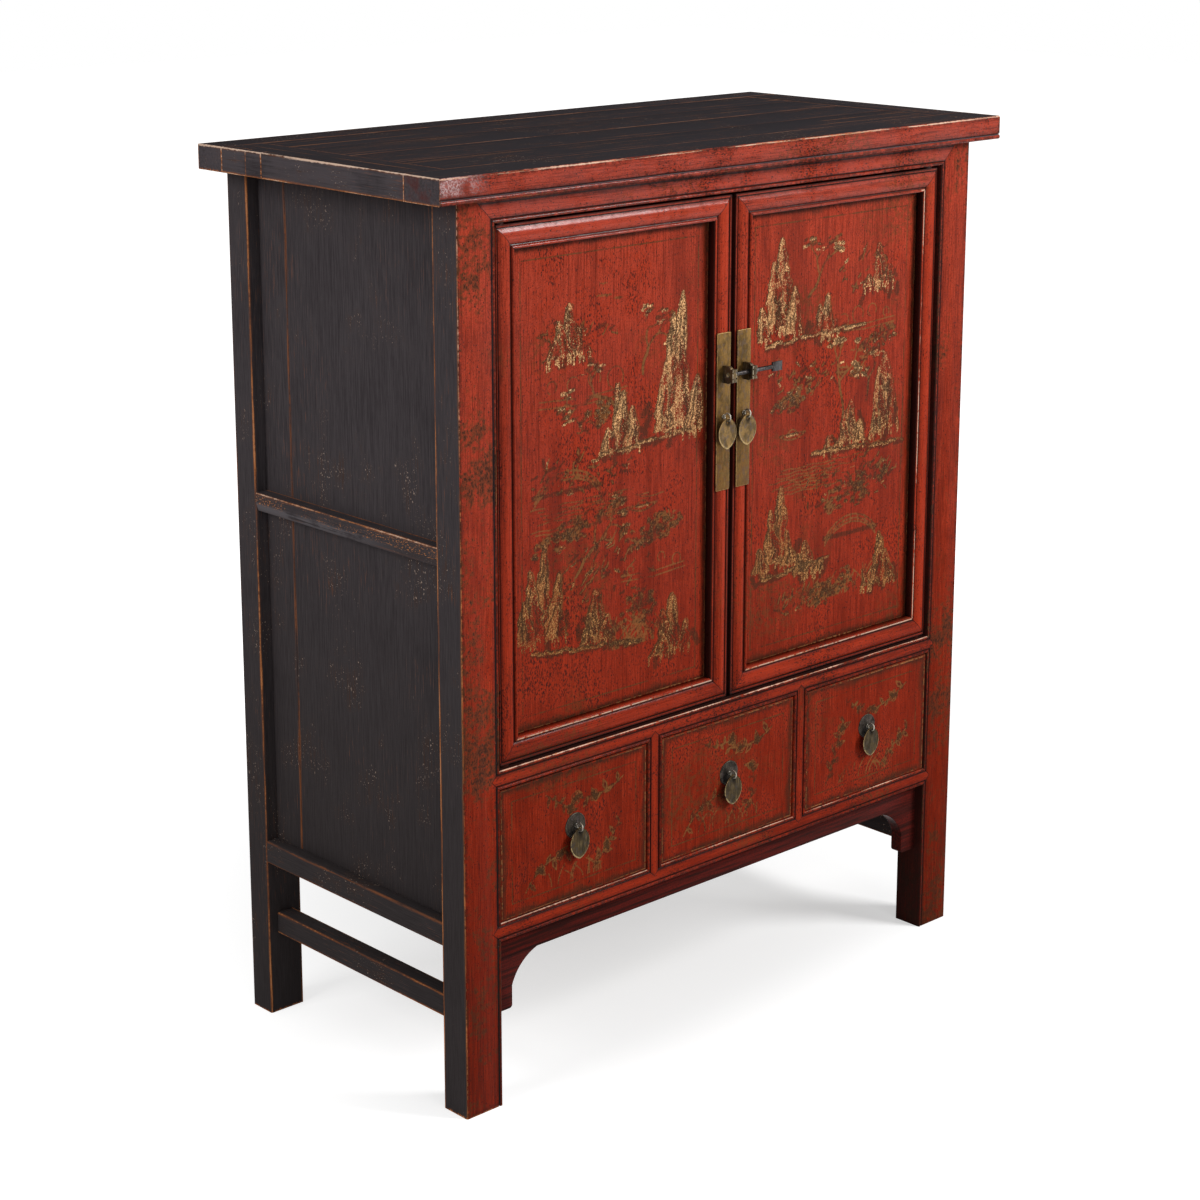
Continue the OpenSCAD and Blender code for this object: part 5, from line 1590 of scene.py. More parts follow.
class Painter:
    """Draws the forms of a plain landscape and of flower sprigs with strokes."""

    def __init__(self, canvas: Canvas, seed: int) -> None:
        """Keeps the canvas and a fixed seed."""
        self.canvas = canvas
        self.path, self.stroke, self.fill = canvas.path, canvas.stroke, canvas.fill
        self.rng = random.Random(seed)

    def mm(self, least: float, most: float) -> float:
        """Gives a random length between two numbers of millimetres."""
        return self.rng.uniform(least, most) * MM

    @staticmethod
    def _arc(
        centre: Sequence[float], radius: float, start: float, end: float, steps: int = 8
    ) -> list[tuple[float, float]]:
        """Gives points on an arc between two angles in degrees."""
        angles = [math.radians(start + (end - start) * i / steps) for i in range(steps + 1)]
        return [
            (centre[0] + radius * math.cos(a), centre[1] + radius * math.sin(a)) for a in angles
        ]

    def tooth(
        self, x: float, z: float, width: float, height: float, gilt: float, lean: float
    ) -> None:
        """Draws one standing rock: gilt face, dark side, outline, veins and a broken foot.

        Args:
            x: middle of its foot.
            z: level of its foot.
            width: width of its foot.
            height: height of its crown.
            gilt: strength of the gilt.
            lean: how far the crown stands to the side.
        """
        rng, pitch = self.rng, self.canvas.pitch
        rows, power = max(4, int(height / pitch)), rng.uniform(0.8, 1.5)
        aim, now, spans = [0.0, 0.0], [0.0, 0.0], []
        for i in range(rows):
            share = i / rows
            if i % 9 == 0:
                aim = [rng.uniform(-0.14, 0.14) * width * (1 - share) for _ in aim]
            now = [n * 0.72 + a * 0.28 for n, a in zip(now, aim)]
            half = 0.5 * width * (0.28 + 0.72 * (1 - share) ** power) * (1 - share ** 7) ** 0.5
            middle = x + lean * share
            wobble = [self.mm(-0.7, 0.7) for _ in now]
            spans.append((z + i * pitch, middle - half + now[0] + wobble[0],
                          middle + half + now[1] + wobble[1]))
        self.fill(spans, Layer.GILT, gilt, True)
        cut = rng.uniform(0.45, 0.7)
        for part in (spans[: int(rows * 0.62)], spans[int(rows * 0.70): int(rows * 0.86)]):
            dark = [(level, left + cut * (right - left), right - 1.5 * MM)
                    for level, left, right in part if right - left > 9 * MM]
            self.fill(dark, Layer.GILT, gilt * 0.45, True)
            self.fill(dark, Layer.WASH, 0.75)
        for side in (1, 2):
            self.path([(s[side], s[0]) for s in spans[::3]], self.mm(0.2, 0.45))
        for _ in range(max(2, int(width / (6 * MM)))):
            level, left, right = spans[int(rows * rng.uniform(0.25, 0.92))]
            share, points = rng.uniform(0.12, 0.88), []
            drop = int(min(level - z, self.mm(12, 60)) / pitch)
            for step in range(0, drop, 4):
                row = spans[max(0, int((level - z) / pitch) - step)]
                share = min(0.94, max(0.06, share + rng.uniform(-0.05, 0.05)))
                points.append((row[1] + share * (row[2] - row[1]), row[0]))
            self.path(points, self.mm(0.15, 0.4))
        for _ in range(int(width / (3.5 * MM))):
            at = (rng.uniform(spans[0][1], spans[0][2]), z + 3 * MM)
            tip = (at[0] + self.mm(-1.5, 1.5), z - self.mm(1, 14))
            self.stroke(
                at, tip, self.mm(1.0, 2.2), Layer.GILT if rng.random() < 0.7 else Layer.WASH
            )

    def crag(
        self, x: float, z: float, width: float, height: float, gilt: float, lean: float = 0.0
    ) -> None:
        """Draws a crag as a group of standing rocks, from the tallest to the lowest.

        Args:
            x: middle of its foot.
            z: level of its foot.
            width: width of its foot.
            height: height of its crown.
            gilt: strength of the gilt.
            lean: how far the crown stands to the side.
        """
        rng, count = self.rng, max(3, int(width / (26 * MM)) + 1)
        for _ in range(5):
            at = (x + rng.uniform(-0.6, 0.6) * width, z + rng.uniform(-0.05, 0.3) * height)
            tip = (at[0] + self.mm(-12, 12), at[1] - self.mm(6, 22))
            self.stroke(at, tip, self.mm(5, 9), Layer.WASH)
        for k in range(count):
            share = k / (count - 1)
            tall = height * (1 - 0.62 * share) * rng.uniform(0.85, 1.05)
            middle = x + lean + (0.5 - k % 2) * share * width * rng.uniform(0.5, 0.9)
            foot = z + height * (0.16 * (1 - share)) * rng.uniform(0.3, 1.0)
            wide = width * rng.uniform(0.30, 0.50) * (1.15 - 0.3 * share)
            self.tooth(middle, foot, wide, tall, min(1.0, gilt + 0.2) * rng.uniform(0.7, 1.1),
                       rng.uniform(-0.3, 0.3) * wide)

    def follow(self, plan: Sequence[tuple[Any, ...]]) -> None:
        """Draws every form of a plan.

        Args:
            plan: name of each form with its numbers, as shares of the canvas.
        """
        size = {"w": self.canvas.width, "h": self.canvas.height, ".": 1}
        for form, *values in plan:
            scaled = [v * size[k] for v, k in zip(values, SCALES[form])]
            getattr(self, form)(*scaled)

    def haze(self, x: float, z: float, width: float, height: float, count: int) -> None:
        """Scatters faint remains of gilt and wash over an oval."""
        rng = self.rng
        for _ in range(count):
            a, r = rng.uniform(0, 2 * math.pi), rng.uniform(0, 1) ** 0.6
            at = (x + 0.5 * width * r * math.cos(a), z + 0.5 * height * r * math.sin(a))
            run, turn = self.mm(3, 13), rng.gauss(0.3, 0.7)
            tip = (at[0] + run * math.cos(turn), at[1] + run * math.sin(turn))
            if rng.random() < 0.15:
                self.stroke(at, tip, self.mm(0.8, 1.8), Layer.GILT)
            else:
                self.stroke(at, tip, self.mm(1.0, 4.0), Layer.WASH)
            if rng.random() < 0.7:
                bend = (tip[0] + run * 0.4 * math.sin(turn), tip[1] + run * 0.5)
                self.path([at, tip, bend], 0.2 * MM)

    def bank(self, left: float, right: float, z: float, slope: float) -> None:
        """Draws a low bank of dark wash with gilt dashes on its edge."""
        rng, x = self.rng, left
        while x < right:
            run = self.mm(8, 20)
            level = z + (x - left) * slope + self.mm(-2.5, 2.5)
            tip = (x + run, level + run * slope)
            self.stroke((x, level - 3 * MM), tip, self.mm(3.5, 6.5), Layer.WASH)
            if rng.random() < 0.75:
                self.stroke((x, level), tip, self.mm(1.5, 3.2), Layer.GILT)
            self.path(
                [(x, level + 2 * MM), (x + run / 2, level + 3.5 * MM), tip], 0.3 * MM
            )
            x += run * rng.uniform(0.55, 1.0)

    def tree(self, x: float, z: float, length: float, angle: float, depth: int = 0) -> None:
        """Draws a branching tree with flat clouds of leaves."""
        rng, points = self.rng, [(x, z)]
        for _ in range(4):
            angle += rng.uniform(-24, 24)
            x += math.cos(math.radians(angle)) * length / 4
            z += math.sin(math.radians(angle)) * length / 4
            points.append((x, z))
        self.path(points, (1.3 - 0.35 * depth) * MM)
        if depth < 1:
            self.path(points, 3.2 * MM, Layer.WASH)
        if depth < 3:
            for sign in (-1, 1):
                turn = angle + sign * rng.uniform(22, 55)
                self.tree(x, z, length * rng.uniform(0.52, 0.74), turn, depth + 1)
            return
        for _ in range(5):
            left, level = x + self.mm(-10, 7), z + self.mm(-5, 6)
            run = self.mm(3, 9)
            layer = Layer.GILT if rng.random() < 0.45 else Layer.WASH
            tip = (left + run, level + self.mm(-1, 2))
            self.stroke((left, level), tip, self.mm(1.8, 3.2), layer)
            self.path(self._arc(tip, 2.2 * MM, 20, 200, 4), 0.15 * MM)

    def foliage(self, x: float, z: float, width: float, height: float, count: int) -> None:
        """Fills a leaning oval with small curled leaves, thinner towards its edge."""
        rng = self.rng
        for _ in range(count):
            a, r = rng.uniform(0, 2 * math.pi), rng.uniform(0, 1) ** 0.75
            across = 0.5 * width * r * math.cos(a)
            at = (x + across, z + 0.25 * across + 0.5 * height * r * math.sin(a))
            size, turn = self.mm(2.5, 6.0), rng.uniform(0, 2 * math.pi)
            curl = [
                (at[0] + size * math.cos(turn + k), at[1] + 0.7 * size * math.sin(turn + k))
                for k in (0.0, 0.9, 1.8, 2.7)
            ]
            self.path(curl, self.mm(0.2, 0.5))
            if rng.random() < 0.4:
                self.stroke(at, curl[1], self.mm(0.6, 1.6), Layer.GILT)
            if rng.random() < 0.5:
                self.stroke(at, curl[2], self.mm(2.5, 5.0), Layer.WASH)

    def reeds(self, x: float, z: float, width: float, height: float, count: int) -> None:
        """Draws bending reeds."""
        rng = self.rng
        for _ in range(count):
            foot = x + rng.uniform(-0.5, 0.5) * width
            bend = rng.uniform(-0.7, 0.7) * height
            tall = height * rng.uniform(0.5, 1.0)
            self.path(
                [(foot + bend * (i / 6) ** 2, z + tall * i / 6) for i in range(7)], 0.2 * MM
            )

    def cloud(self, x: float, z: float, width: float) -> None:
        """Draws a long curled cloud."""
        rng = self.rng
        for i in range(4):
            radius = width * rng.uniform(0.05, 0.10)
            at = (x + width * (i - 1.5) * 0.24, z + rng.uniform(-0.04, 0.04) * width)
            self.path(self._arc(at, radius, -30, 250, 9), 0.25 * MM)
        for drop in (0.08, 0.14):
            ends = [(x + sign * width / 2, z - drop * width) for sign in (-1, 1)]
            self.path([ends[0], (x, z - (drop + 0.03) * width), ends[1]], 0.2 * MM)

    def water(self, x: float, z: float, width: float, lines: int) -> None:
        """Draws a few low waves."""
        rng = self.rng
        for row in range(lines):
            level, start = z - row * 5 * MM, x + rng.uniform(-0.5, -0.2) * width
            run = width * rng.uniform(0.4, 0.9)
            self.path(
                [(start + run * i / 12, level + 1.3 * MM * math.sin(i * 1.9 + row))
                 for i in range(13)],
                0.15 * MM,
            )

    def bridge(self, x: float, z: float, width: float) -> None:
        """Draws a small arched footbridge."""
        radius = width * 0.62
        for lift in (0.0, 5 * MM, 11 * MM):
            arc = self._arc((x, z - radius * 0.78 + lift), radius, 142, 38, 12)
            self.path(arc, 0.45 * MM)
        for share in (-0.42, -0.28, -0.14, 0.0, 0.14, 0.28, 0.42):
            top = z + radius * (math.sqrt(max(0.0, 1 - (share * 1.6) ** 2)) - 0.78)
            at = x + share * width
            self.path([(at, top), (at, top + 12 * MM)], 0.3 * MM)
        self.path([(x - width / 2, z), (x + width / 2, z)], 5 * MM, Layer.WASH)

    def boat(self, x: float, z: float, width: float) -> None:
        """Draws a flat boat with a mat roof."""
        hull = self._arc((x, z + 0.75 * width), 0.9 * width, 236, 304, 8)
        self.path(hull, 0.6 * MM)
        self.path([hull[0], hull[-1]], 0.3 * MM)
        roof = self._arc((x, z - 0.10 * width), 0.22 * width, 20, 160, 7)
        self.path(roof, 0.4 * MM)
        self.path([roof[0], roof[-1]], 2.5 * MM, Layer.GILT)

    def birds(self, x: float, z: float, count: int) -> None:
        """Draws a loose flight of birds."""
        for _ in range(count):
            at = (x + self.mm(-30, 30), z + self.mm(-14, 14))
            for sign in (-1, 1):
                wrist = (at[0] + sign * 3 * MM, at[1] + 2.4 * MM)
                tip = (at[0] + sign * 6.5 * MM, at[1] + 1.2 * MM)
                self.path([at, wrist, tip], 0.2 * MM)

    def sprig(self, x: float, z: float, length: float, angle: float, blooms: int) -> None:
        """Draws a bending stem with leaves and blossoms."""
        rng = self.rng
        points, turn = [(x, z)], rng.uniform(-9, 9)
        for _ in range(8):
            angle += turn
            x += math.cos(math.radians(angle)) * length / 8
            z += math.sin(math.radians(angle)) * length / 8
            points.append((x, z))
        self.path(points, 0.3 * MM)
        for i, (px, pz) in enumerate(points[1:]):
            lean = math.radians(angle + (1 if i % 2 else -1) * rng.uniform(35, 75))
            size = rng.uniform(0.12, 0.22) * length
            tip = (px + math.cos(lean) * size, pz + math.sin(lean) * size)
            middle = ((px + tip[0]) / 2, (pz + tip[1]) / 2)
            out = (-math.sin(lean) * size * 0.20, math.cos(lean) * size * 0.20)
            for sign in (-1, 1):
                bulge = (middle[0] + sign * out[0], middle[1] + sign * out[1])
                self.path([(px, pz), bulge, tip], 0.2 * MM)
            self.stroke((px, pz), middle, size * 0.30, Layer.WASH)
        for px, pz in rng.sample(points[3:], blooms):
            radius = self.mm(6, 9)
            for k in range(5):
                a = math.radians(72 * k + rng.uniform(-8, 8))
                at = (px + math.cos(a) * radius * 0.7, pz + math.sin(a) * radius * 0.7)
                self.path(self._arc(at, radius * 0.42, 0, 360, 7), 0.1 * MM)
                self.stroke(at, (px, pz), 2.2 * MM, Layer.GILT)


# Forms on the doors and drawers, placed and sized by shares of the width or the height
PLANS: dict[str, tuple[tuple[Any, ...], ...]] = {
    "left": (
        ("haze", 0.30, 0.80, 0.4, 0.08, 26),
        ("crag", 0.24, 0.76, 0.26, 0.11, 0.6, 0.02),
        ("crag", 0.78, 0.56, 0.30, 0.30, 0.8, 0.02),
        ("crag", 0.58, 0.55, 0.22, 0.15, 0.7, -0.01),
        ("birds", 0.50, 0.88, 6),
        ("cloud", 0.36, 0.70, 0.44),
        ("tree", 0.52, 0.64, 0.07, 110),
        ("tree", 0.66, 0.70, 0.06, 80),
        ("bank", 0.44, 0.92, 0.545, 0.06),
        ("haze", 0.34, 0.52, 0.5, 0.10, 60),
        ("bridge", 0.28, 0.485, 0.34),
        ("water", 0.42, 0.46, 0.8, 8),
        ("boat", 0.66, 0.42, 0.15),
        ("crag", 0.20, 0.18, 0.30, 0.20, 0.75, -0.02),
        ("crag", 0.40, 0.15, 0.22, 0.10, 0.6, 0.01),
        ("tree", 0.32, 0.30, 0.08, 70),
        ("haze", 0.46, 0.30, 0.5, 0.14, 70),
        ("bank", 0.10, 0.62, 0.155, -0.10),
        ("reeds", 0.62, 0.12, 0.3, 0.07, 40),
        ("crag", 0.82, 0.08, 0.26, 0.12, 0.6),
        ("cloud", 0.72, 0.29, 0.34),
        ("foliage", 0.28, 0.395, 0.36, 0.055, 110),
        ("foliage", 0.72, 0.36, 0.30, 0.06, 110),
        ("foliage", 0.42, 0.63, 0.20, 0.05, 60),
        ("foliage", 0.64, 0.20, 0.20, 0.08, 80),
    ),
    "right": (
        ("haze", 0.70, 0.84, 0.4, 0.10, 30),
        ("crag", 0.24, 0.72, 0.28, 0.21, 0.75, -0.01),
        ("crag", 0.44, 0.71, 0.20, 0.10, 0.6, 0.01),
        ("crag", 0.80, 0.80, 0.22, 0.09, 0.5, 0.0),
        ("tree", 0.36, 0.80, 0.06, 60),
        ("cloud", 0.70, 0.74, 0.36),
        ("bank", 0.12, 0.66, 0.705, 0.05),
        ("haze", 0.34, 0.62, 0.5, 0.08, 50),
        ("birds", 0.62, 0.64, 5),
        ("crag", 0.82, 0.46, 0.26, 0.19, 0.7, 0.01),
        ("crag", 0.62, 0.45, 0.26, 0.09, 0.7, 0.0),
        ("tree", 0.58, 0.52, 0.08, 100),
        ("tree", 0.72, 0.54, 0.05, 80),
        ("bank", 0.40, 0.92, 0.445, -0.05),
        ("water", 0.36, 0.42, 0.6, 8),
        ("boat", 0.28, 0.50, 0.15),
        ("haze", 0.62, 0.36, 0.56, 0.12, 80),
        ("crag", 0.22, 0.20, 0.28, 0.16, 0.75, 0.0),
        ("crag", 0.38, 0.17, 0.20, 0.08, 0.7, 0.0),
        ("bridge", 0.64, 0.24, 0.32),
        ("bank", 0.10, 0.50, 0.18, 0.06),
        ("reeds", 0.60, 0.10, 0.5, 0.06, 44),
        ("crag", 0.84, 0.10, 0.22, 0.13, 0.6),
        ("haze", 0.40, 0.11, 0.5, 0.06, 40),
        ("foliage", 0.66, 0.345, 0.42, 0.07, 150),
        ("foliage", 0.28, 0.58, 0.26, 0.05, 80),
        ("foliage", 0.50, 0.12, 0.34, 0.06, 110),
        ("foliage", 0.80, 0.68, 0.22, 0.05, 60),
    ),
    "drawer": (
        ("sprig", 0.16, 0.15, 0.55, 62, 2), ("sprig", 0.84, 0.82, 0.5, 215, 2),
        ("sprig", 0.62, 0.16, 0.42, 40, 1), ("sprig", 0.30, 0.86, 0.34, -35, 1),
    ),
}
# What each number of a form is a share of: w the width, h the height, a dot neither
SCALES = {
    "haze": "whwh.", "crag": "whwh..", "birds": "wh.", "cloud": "whw", "tree": "whh.",
    "bank": "wwh.", "bridge": "whw", "water": "whw.", "boat": "whw", "reeds": "whwh.",
    "foliage": "whwh.", "sprig": "whh..",
}


@dataclass
class Picture:
    """A thin painted film on a flat wooden front."""

    name: str
    body: str
    low: Point
    high: Point
    film: float = 0.15 * MM
    step: float = 1.7 * MM

    def build(self, canvas: Canvas, material: bpy.types.Material) -> None:
        """Builds the film and reads the painting into it.

        Args:
            canvas: the painting.
            material: the painted lacquer.
        """
        width, height = self.high[0] - self.low[0], self.high[2] - self.low[2]
        columns, rows = round(width / self.step), round(height / self.step)
        xs = np.linspace(self.low[0], self.high[0], columns + 1)
        zs = np.linspace(self.low[2], self.high[2], rows + 1)
        front, back = self.low[1] - self.film, self.low[1] + self.film
        grid = [(x, front, z) for z in zs for x in xs]
        corners = [(x, back, z) for z in (zs[0], zs[-1]) for x in (xs[0], xs[-1])]
        across = columns + 1
        faces = [
            (r * across + c, r * across + c + 1, (r + 1) * across + c + 1, (r + 1) * across + c)
            for r in range(rows) for c in range(columns)
        ]
        base = len(grid)
        bottom, top = range(across), range(rows * across, base)
        left, right = range(0, base, across), range(columns, base, across)
        faces += [
            (base + 1, *reversed(bottom), base), (base + 2, *top, base + 3),
            (base, *left, base + 2), (base + 3, *reversed(right), base + 1),
            (base, base + 2, base + 3, base + 1),
        ]
        mesh = bpy.data.meshes.new(self.name)
        mesh.from_pydata(grid + corners, [], faces)
        mesh.validate()
        mark(mesh, self.name, RED_FRONT, (self.low, self.high), 2)
        place = np.array(grid + corners)
        across, up = place[:, 0] - self.low[0], place[:, 2] - self.low[2]
        for layer in Layer:
            store(mesh, layer.value, canvas.read(layer, across, up))
        piece(self.name, mesh, material, self.body)


@dataclass
class Pictures:
    """The painted panels of both doors and the sprigs on the drawers."""

    finishes: Finishes
    frame_w: float = 33 * MM
    inset: float = 1.3 * MM
    depth: float = 10 * MM

    def build(self) -> None:
        """Paints both doors and the three drawers."""
        for side, seed in zip(SIDES, DOOR_SEEDS):
            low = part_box(f"{side}_door_bottom_rail")[0]
            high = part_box(f"{side}_door_top_rail")[1]
            stiles = [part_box(f"{side}_door_{k}_stile") for k in ("hinge", "meeting")]
            left = min(s[0].x for s in stiles) + self.frame_w
            right = max(s[1].x for s in stiles) - self.frame_w
            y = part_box(f"{side}_door_panel")[0].y
            film = Picture(
                f"{side}_door_painting", f"{side}_door",
                (left, y, low.z + self.frame_w), (right, y + self.depth, high.z - self.frame_w),
            )
            canvas = Canvas(right - left, film.high[2] - film.low[2])
            Painter(canvas, seed).follow(PLANS[side])
            film.build(canvas, self.finishes.painted)
        for seed, name in enumerate(DRAWERS, DRAWER_SEED):
            low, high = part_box(f"{name}_drawer_front")
            film = Picture(
                f"{name}_drawer_painting", f"{name}_drawer",
                (low.x + self.inset, low.y, low.z + self.inset),
                (high.x - self.inset, low.y + self.depth, high.z - self.inset),
            )
            canvas = Canvas(film.high[0] - film.low[0], film.high[2] - film.low[2])
            painter = Painter(canvas, seed)
            painter.follow(PLANS["drawer"])
            painter.reeds(0.5 * canvas.width, 0.13 * canvas.height, 120 * MM, 30 * MM, 14)
            film.build(canvas, self.finishes.painted)


@dataclass
class LeafPull:
    """A hanging brass leaf with a raised rim and a small keyhole opening."""

    name: str
    node: str
    finishes: Finishes
    rows: int = 30

    def build(self) -> None:
        """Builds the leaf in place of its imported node."""
        low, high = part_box(self.node)
        middle = (low + high) / 2
        width, height = high.x - low.x, high.z - low.z
        side = ((height / 2) ** 2 + (width / 2) ** 2) / width
        reach = math.asin(height / 2 / side)
        loop = []
        for sign in (1, -1):
            for i in range(self.rows):
                a = sign * (-reach + 2 * reach * i / self.rows)
                x = sign * (side * math.cos(a) - side + width / 2)
                loop.append((x, side * math.sin(a)))
        eye_z = height / 2 - EYE_RIM - EYE_R
        cut = []
        for i in range(2 * self.rows):
            a = -math.pi / 2 + 2 * math.pi * (i + 0.5) / (2 * self.rows)
            stretch = 1.25 if math.sin(a) < 0 else 1.0
            cut.append((EYE_R * 0.92 * math.cos(a), eye_z + EYE_R * stretch * math.sin(a)))
        self._mesh(loop, cut, middle, (high.y - low.y) / 2)

    def _mesh(
        self,
        loop: list[tuple[float, float]],
        cut: list[tuple[float, float]],
        middle: Vector,
        half_t: float,
    ) -> None:
        """Joins rings of points between the rim and the hole into a closed leaf.

        Args:
            loop: outline of the leaf from its lower point, counter-clockwise.
            cut: outline of the hole, in the same order.
            middle: centre of the leaf.
            half_t: half its thickness.
        """
        count = len(loop)
        steps = (
            (1.00, 0.35), (0.985, 0.8), (0.955, 1.0), (0.925, 0.8), (0.90, 0.55),
            (0.72, 0.72), (0.45, 0.92), (0.20, 1.0), (0.06, 0.9), (0.0, 0.5),
        )
        rings = [
            [(ix + (ox - ix) * share, iz + (oz - iz) * share, rise)
             for (ox, oz), (ix, iz) in zip(loop, cut)]
            for share, rise in steps
        ]
        verts = [
            (middle.x + x, middle.y - half_t * rise, middle.z + z)
            for ring in rings for x, z, rise in ring
        ]
        back = [rings[0], rings[2], rings[-2], rings[-1]]
        verts += [
            (middle.x + x, middle.y + half_t * (0.5 if i in (0, 3) else 1.0), middle.z + z)
            for i, ring in enumerate(back) for x, z, _ in ring
        ]
        order = [*range(len(rings)), *range(len(rings) + 3, len(rings) - 1, -1)]
        faces = [
            (a * count + i, a * count + j, b * count + j, b * count + i)
            for a, b in zip(order, order[1:] + order[:1])
            for i, j in ((i, (i + 1) % count) for i in range(count))
        ]
        mesh = closed_mesh(self.name, verts, faces)
        mark(mesh, self.name)
        shown = len(verts) - 4 * count
        # rim marks the outer rings, brightened as rubbed brass with a painted highlight; eye
        # marks the rings round the hole, darkened as a painted shadow
        for key, chosen in (("rim", (0, 1, 2)), ("eye", (len(rings) - 1, len(rings) - 2))):
            store(mesh, key, [float(i < shown and i // count in chosen)
                              for i in range(len(verts))])
        low = "drawer" in self.node
        brass = self.finishes.low_brass if low else self.finishes.brass
        piece(self.name, mesh, brass, body_of(self.node), [self.node])


@dataclass
class Fittings:
    """Lock plates, lugs, pin, staples, leaf pulls and the round plates of the drawers."""

    finishes: Finishes
    ring_r: float = 5.4 * MM
    wire_r: float = 1.2 * MM
    stand: float = 8.0 * MM
    plate_w: float = 26 * MM

    def build(self) -> None:
        """Builds every metal piece."""
        staples = wire_tree(self.finishes.silver)
        for side in SIDES:
            self._plate(side)
            self._copy(f"{side}_lock_lug", self.finishes.lug, 0.5 * MM)
            self._pull(staples, f"{side}_door")
        self._copy("lock_pin", self.finishes.steel, 0.3 * MM)
        for name in DRAWERS:
            self._rose(name)
            self._pull(staples, f"{name}_drawer")

    def _copy(self, node: str, material: bpy.types.Material, bevel: float) -> None:
        """Builds an eased copy of a packed metal node."""
        mesh = eased_copy(node, bevel)
        mark(mesh, node)
        piece(f"{node}.finished", mesh, material, body_of(node), [node])

    def _plate(self, side: str) -> None:
        """Builds a long lock plate with softened edges.

        Args:
            side: left or right.
        """
        low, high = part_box(f"{side}_lock_plate")
        door_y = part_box(f"{side}_door_bottom_rail")[0].y
        bm = bmesh.new()
        bmesh.ops.create_cube(bm, size=1.0)
        size = Vector((self.plate_w, SHEET, high.z - low.z))
        bmesh.ops.scale(bm, vec=size, verts=bm.verts)
        middle = ((low.x + high.x) / 2, door_y - SHEET / 2, (low.z + high.z) / 2)
        bmesh.ops.translate(bm, vec=middle, verts=bm.verts)
        corners = [e for e in bm.edges if abs(e.verts[0].co.y - e.verts[1].co.y) > 0.1 * MM]
        soften = {"profile": 0.5, "affect": "EDGES"}
        bmesh.ops.bevel(bm, geom=corners, offset=1.2 * MM, segments=3, **soften)
        # A mesh read anew lists the faces of a second bevel in the same order in every run
        mesh = bpy.data.meshes.new(f"{side}_lock_plate")
        bm.to_mesh(mesh)
        bm.clear()
        bm.from_mesh(mesh)
        front = [e for e in bm.edges if all(v.co.y < door_y - SHEET / 2 for v in e.verts)]
        bmesh.ops.bevel(bm, geom=front, offset=0.4 * MM, segments=2, **soften)
        bm.to_mesh(mesh)
        bm.free()
        smooth(mesh)
        mark(mesh, f"{side}_plate")
        piece(
            f"{side}_lock_plate.finished", mesh, self.finishes.plate, f"{side}_door",
            [f"{side}_lock_plate"],
        )

    def _pull(self, group: bpy.types.GeometryNodeTree, body: str) -> None:
        """Builds a leaf pull and the staple that it hangs in.

        Args:
            group: the tree of the staple.
            body: the body that carries the staple.
        """
        pull = f"{body}_pull"
        LeafPull(f"{pull}.finished", pull, self.finishes).build()
        low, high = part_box(pull)
        eye_z = high.z - EYE_RIM - EYE_R
        centre = ((low.x + high.x) / 2, (low.y + high.y) / 2, eye_z + self.ring_r)
        mesh = grown(
            group,
            {"Ring Radius": self.ring_r, "Wire Radius": self.wire_r, "Stand": self.stand},
            Matrix.Translation(centre),
        )
        mark(mesh, f"{body}_staple")
        piece(f"{body}_staple", mesh, self.finishes.silver, body)

    def _rose(self, name: str) -> None:
        """Builds the round plate of a drawer as a turned disc with a low rim.

        Args:
            name: left, centre or right.
        """
        node = f"{name}_drawer_rose"
        low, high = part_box(node)
        front_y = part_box(f"{name}_drawer_front")[0].y
        middle = Vector(((low.x + high.x) / 2, front_y, (low.z + high.z) / 2))
        radius = (high.x - low.x) / 2
        outline = (
            (0.0, 0.0), (1.0, 0.0), (1.0, 0.35), (0.985, 0.75), (0.95, 1.0), (0.91, 1.0),
            (0.88, 0.7), (0.84, 0.62), (0.6, 0.7), (0.3, 0.82), (0.0, 0.86),
        )
        steps = 48
        verts, faces = [], []
        for share, rise in outline:
            y = middle.y - SHEET * rise
            if share == 0.0:
                verts.append((middle.x, y, middle.z))
                continue
            for i in range(steps):
                a = 2 * math.pi * i / steps
                verts.append((middle.x + radius * share * math.cos(a), y,
                              middle.z + radius * share * math.sin(a)))
        rings = len(outline) - 2
        last = len(verts) - 1
        for i in range(steps):
            j = (i + 1) % steps
            faces.append((0, 1 + i, 1 + j))
            for r in range(rings - 1):
                a, b = 1 + r * steps, 1 + (r + 1) * steps
                faces.append((a + i, b + i, b + j, a + j))
            end = 1 + (rings - 1) * steps
            faces.append((last, end + j, end + i))
        mesh = closed_mesh(node, verts, faces)
        mark(mesh, node)
        piece(f"{node}.finished", mesh, self.finishes.dark, f"{name}_drawer",
              [node])


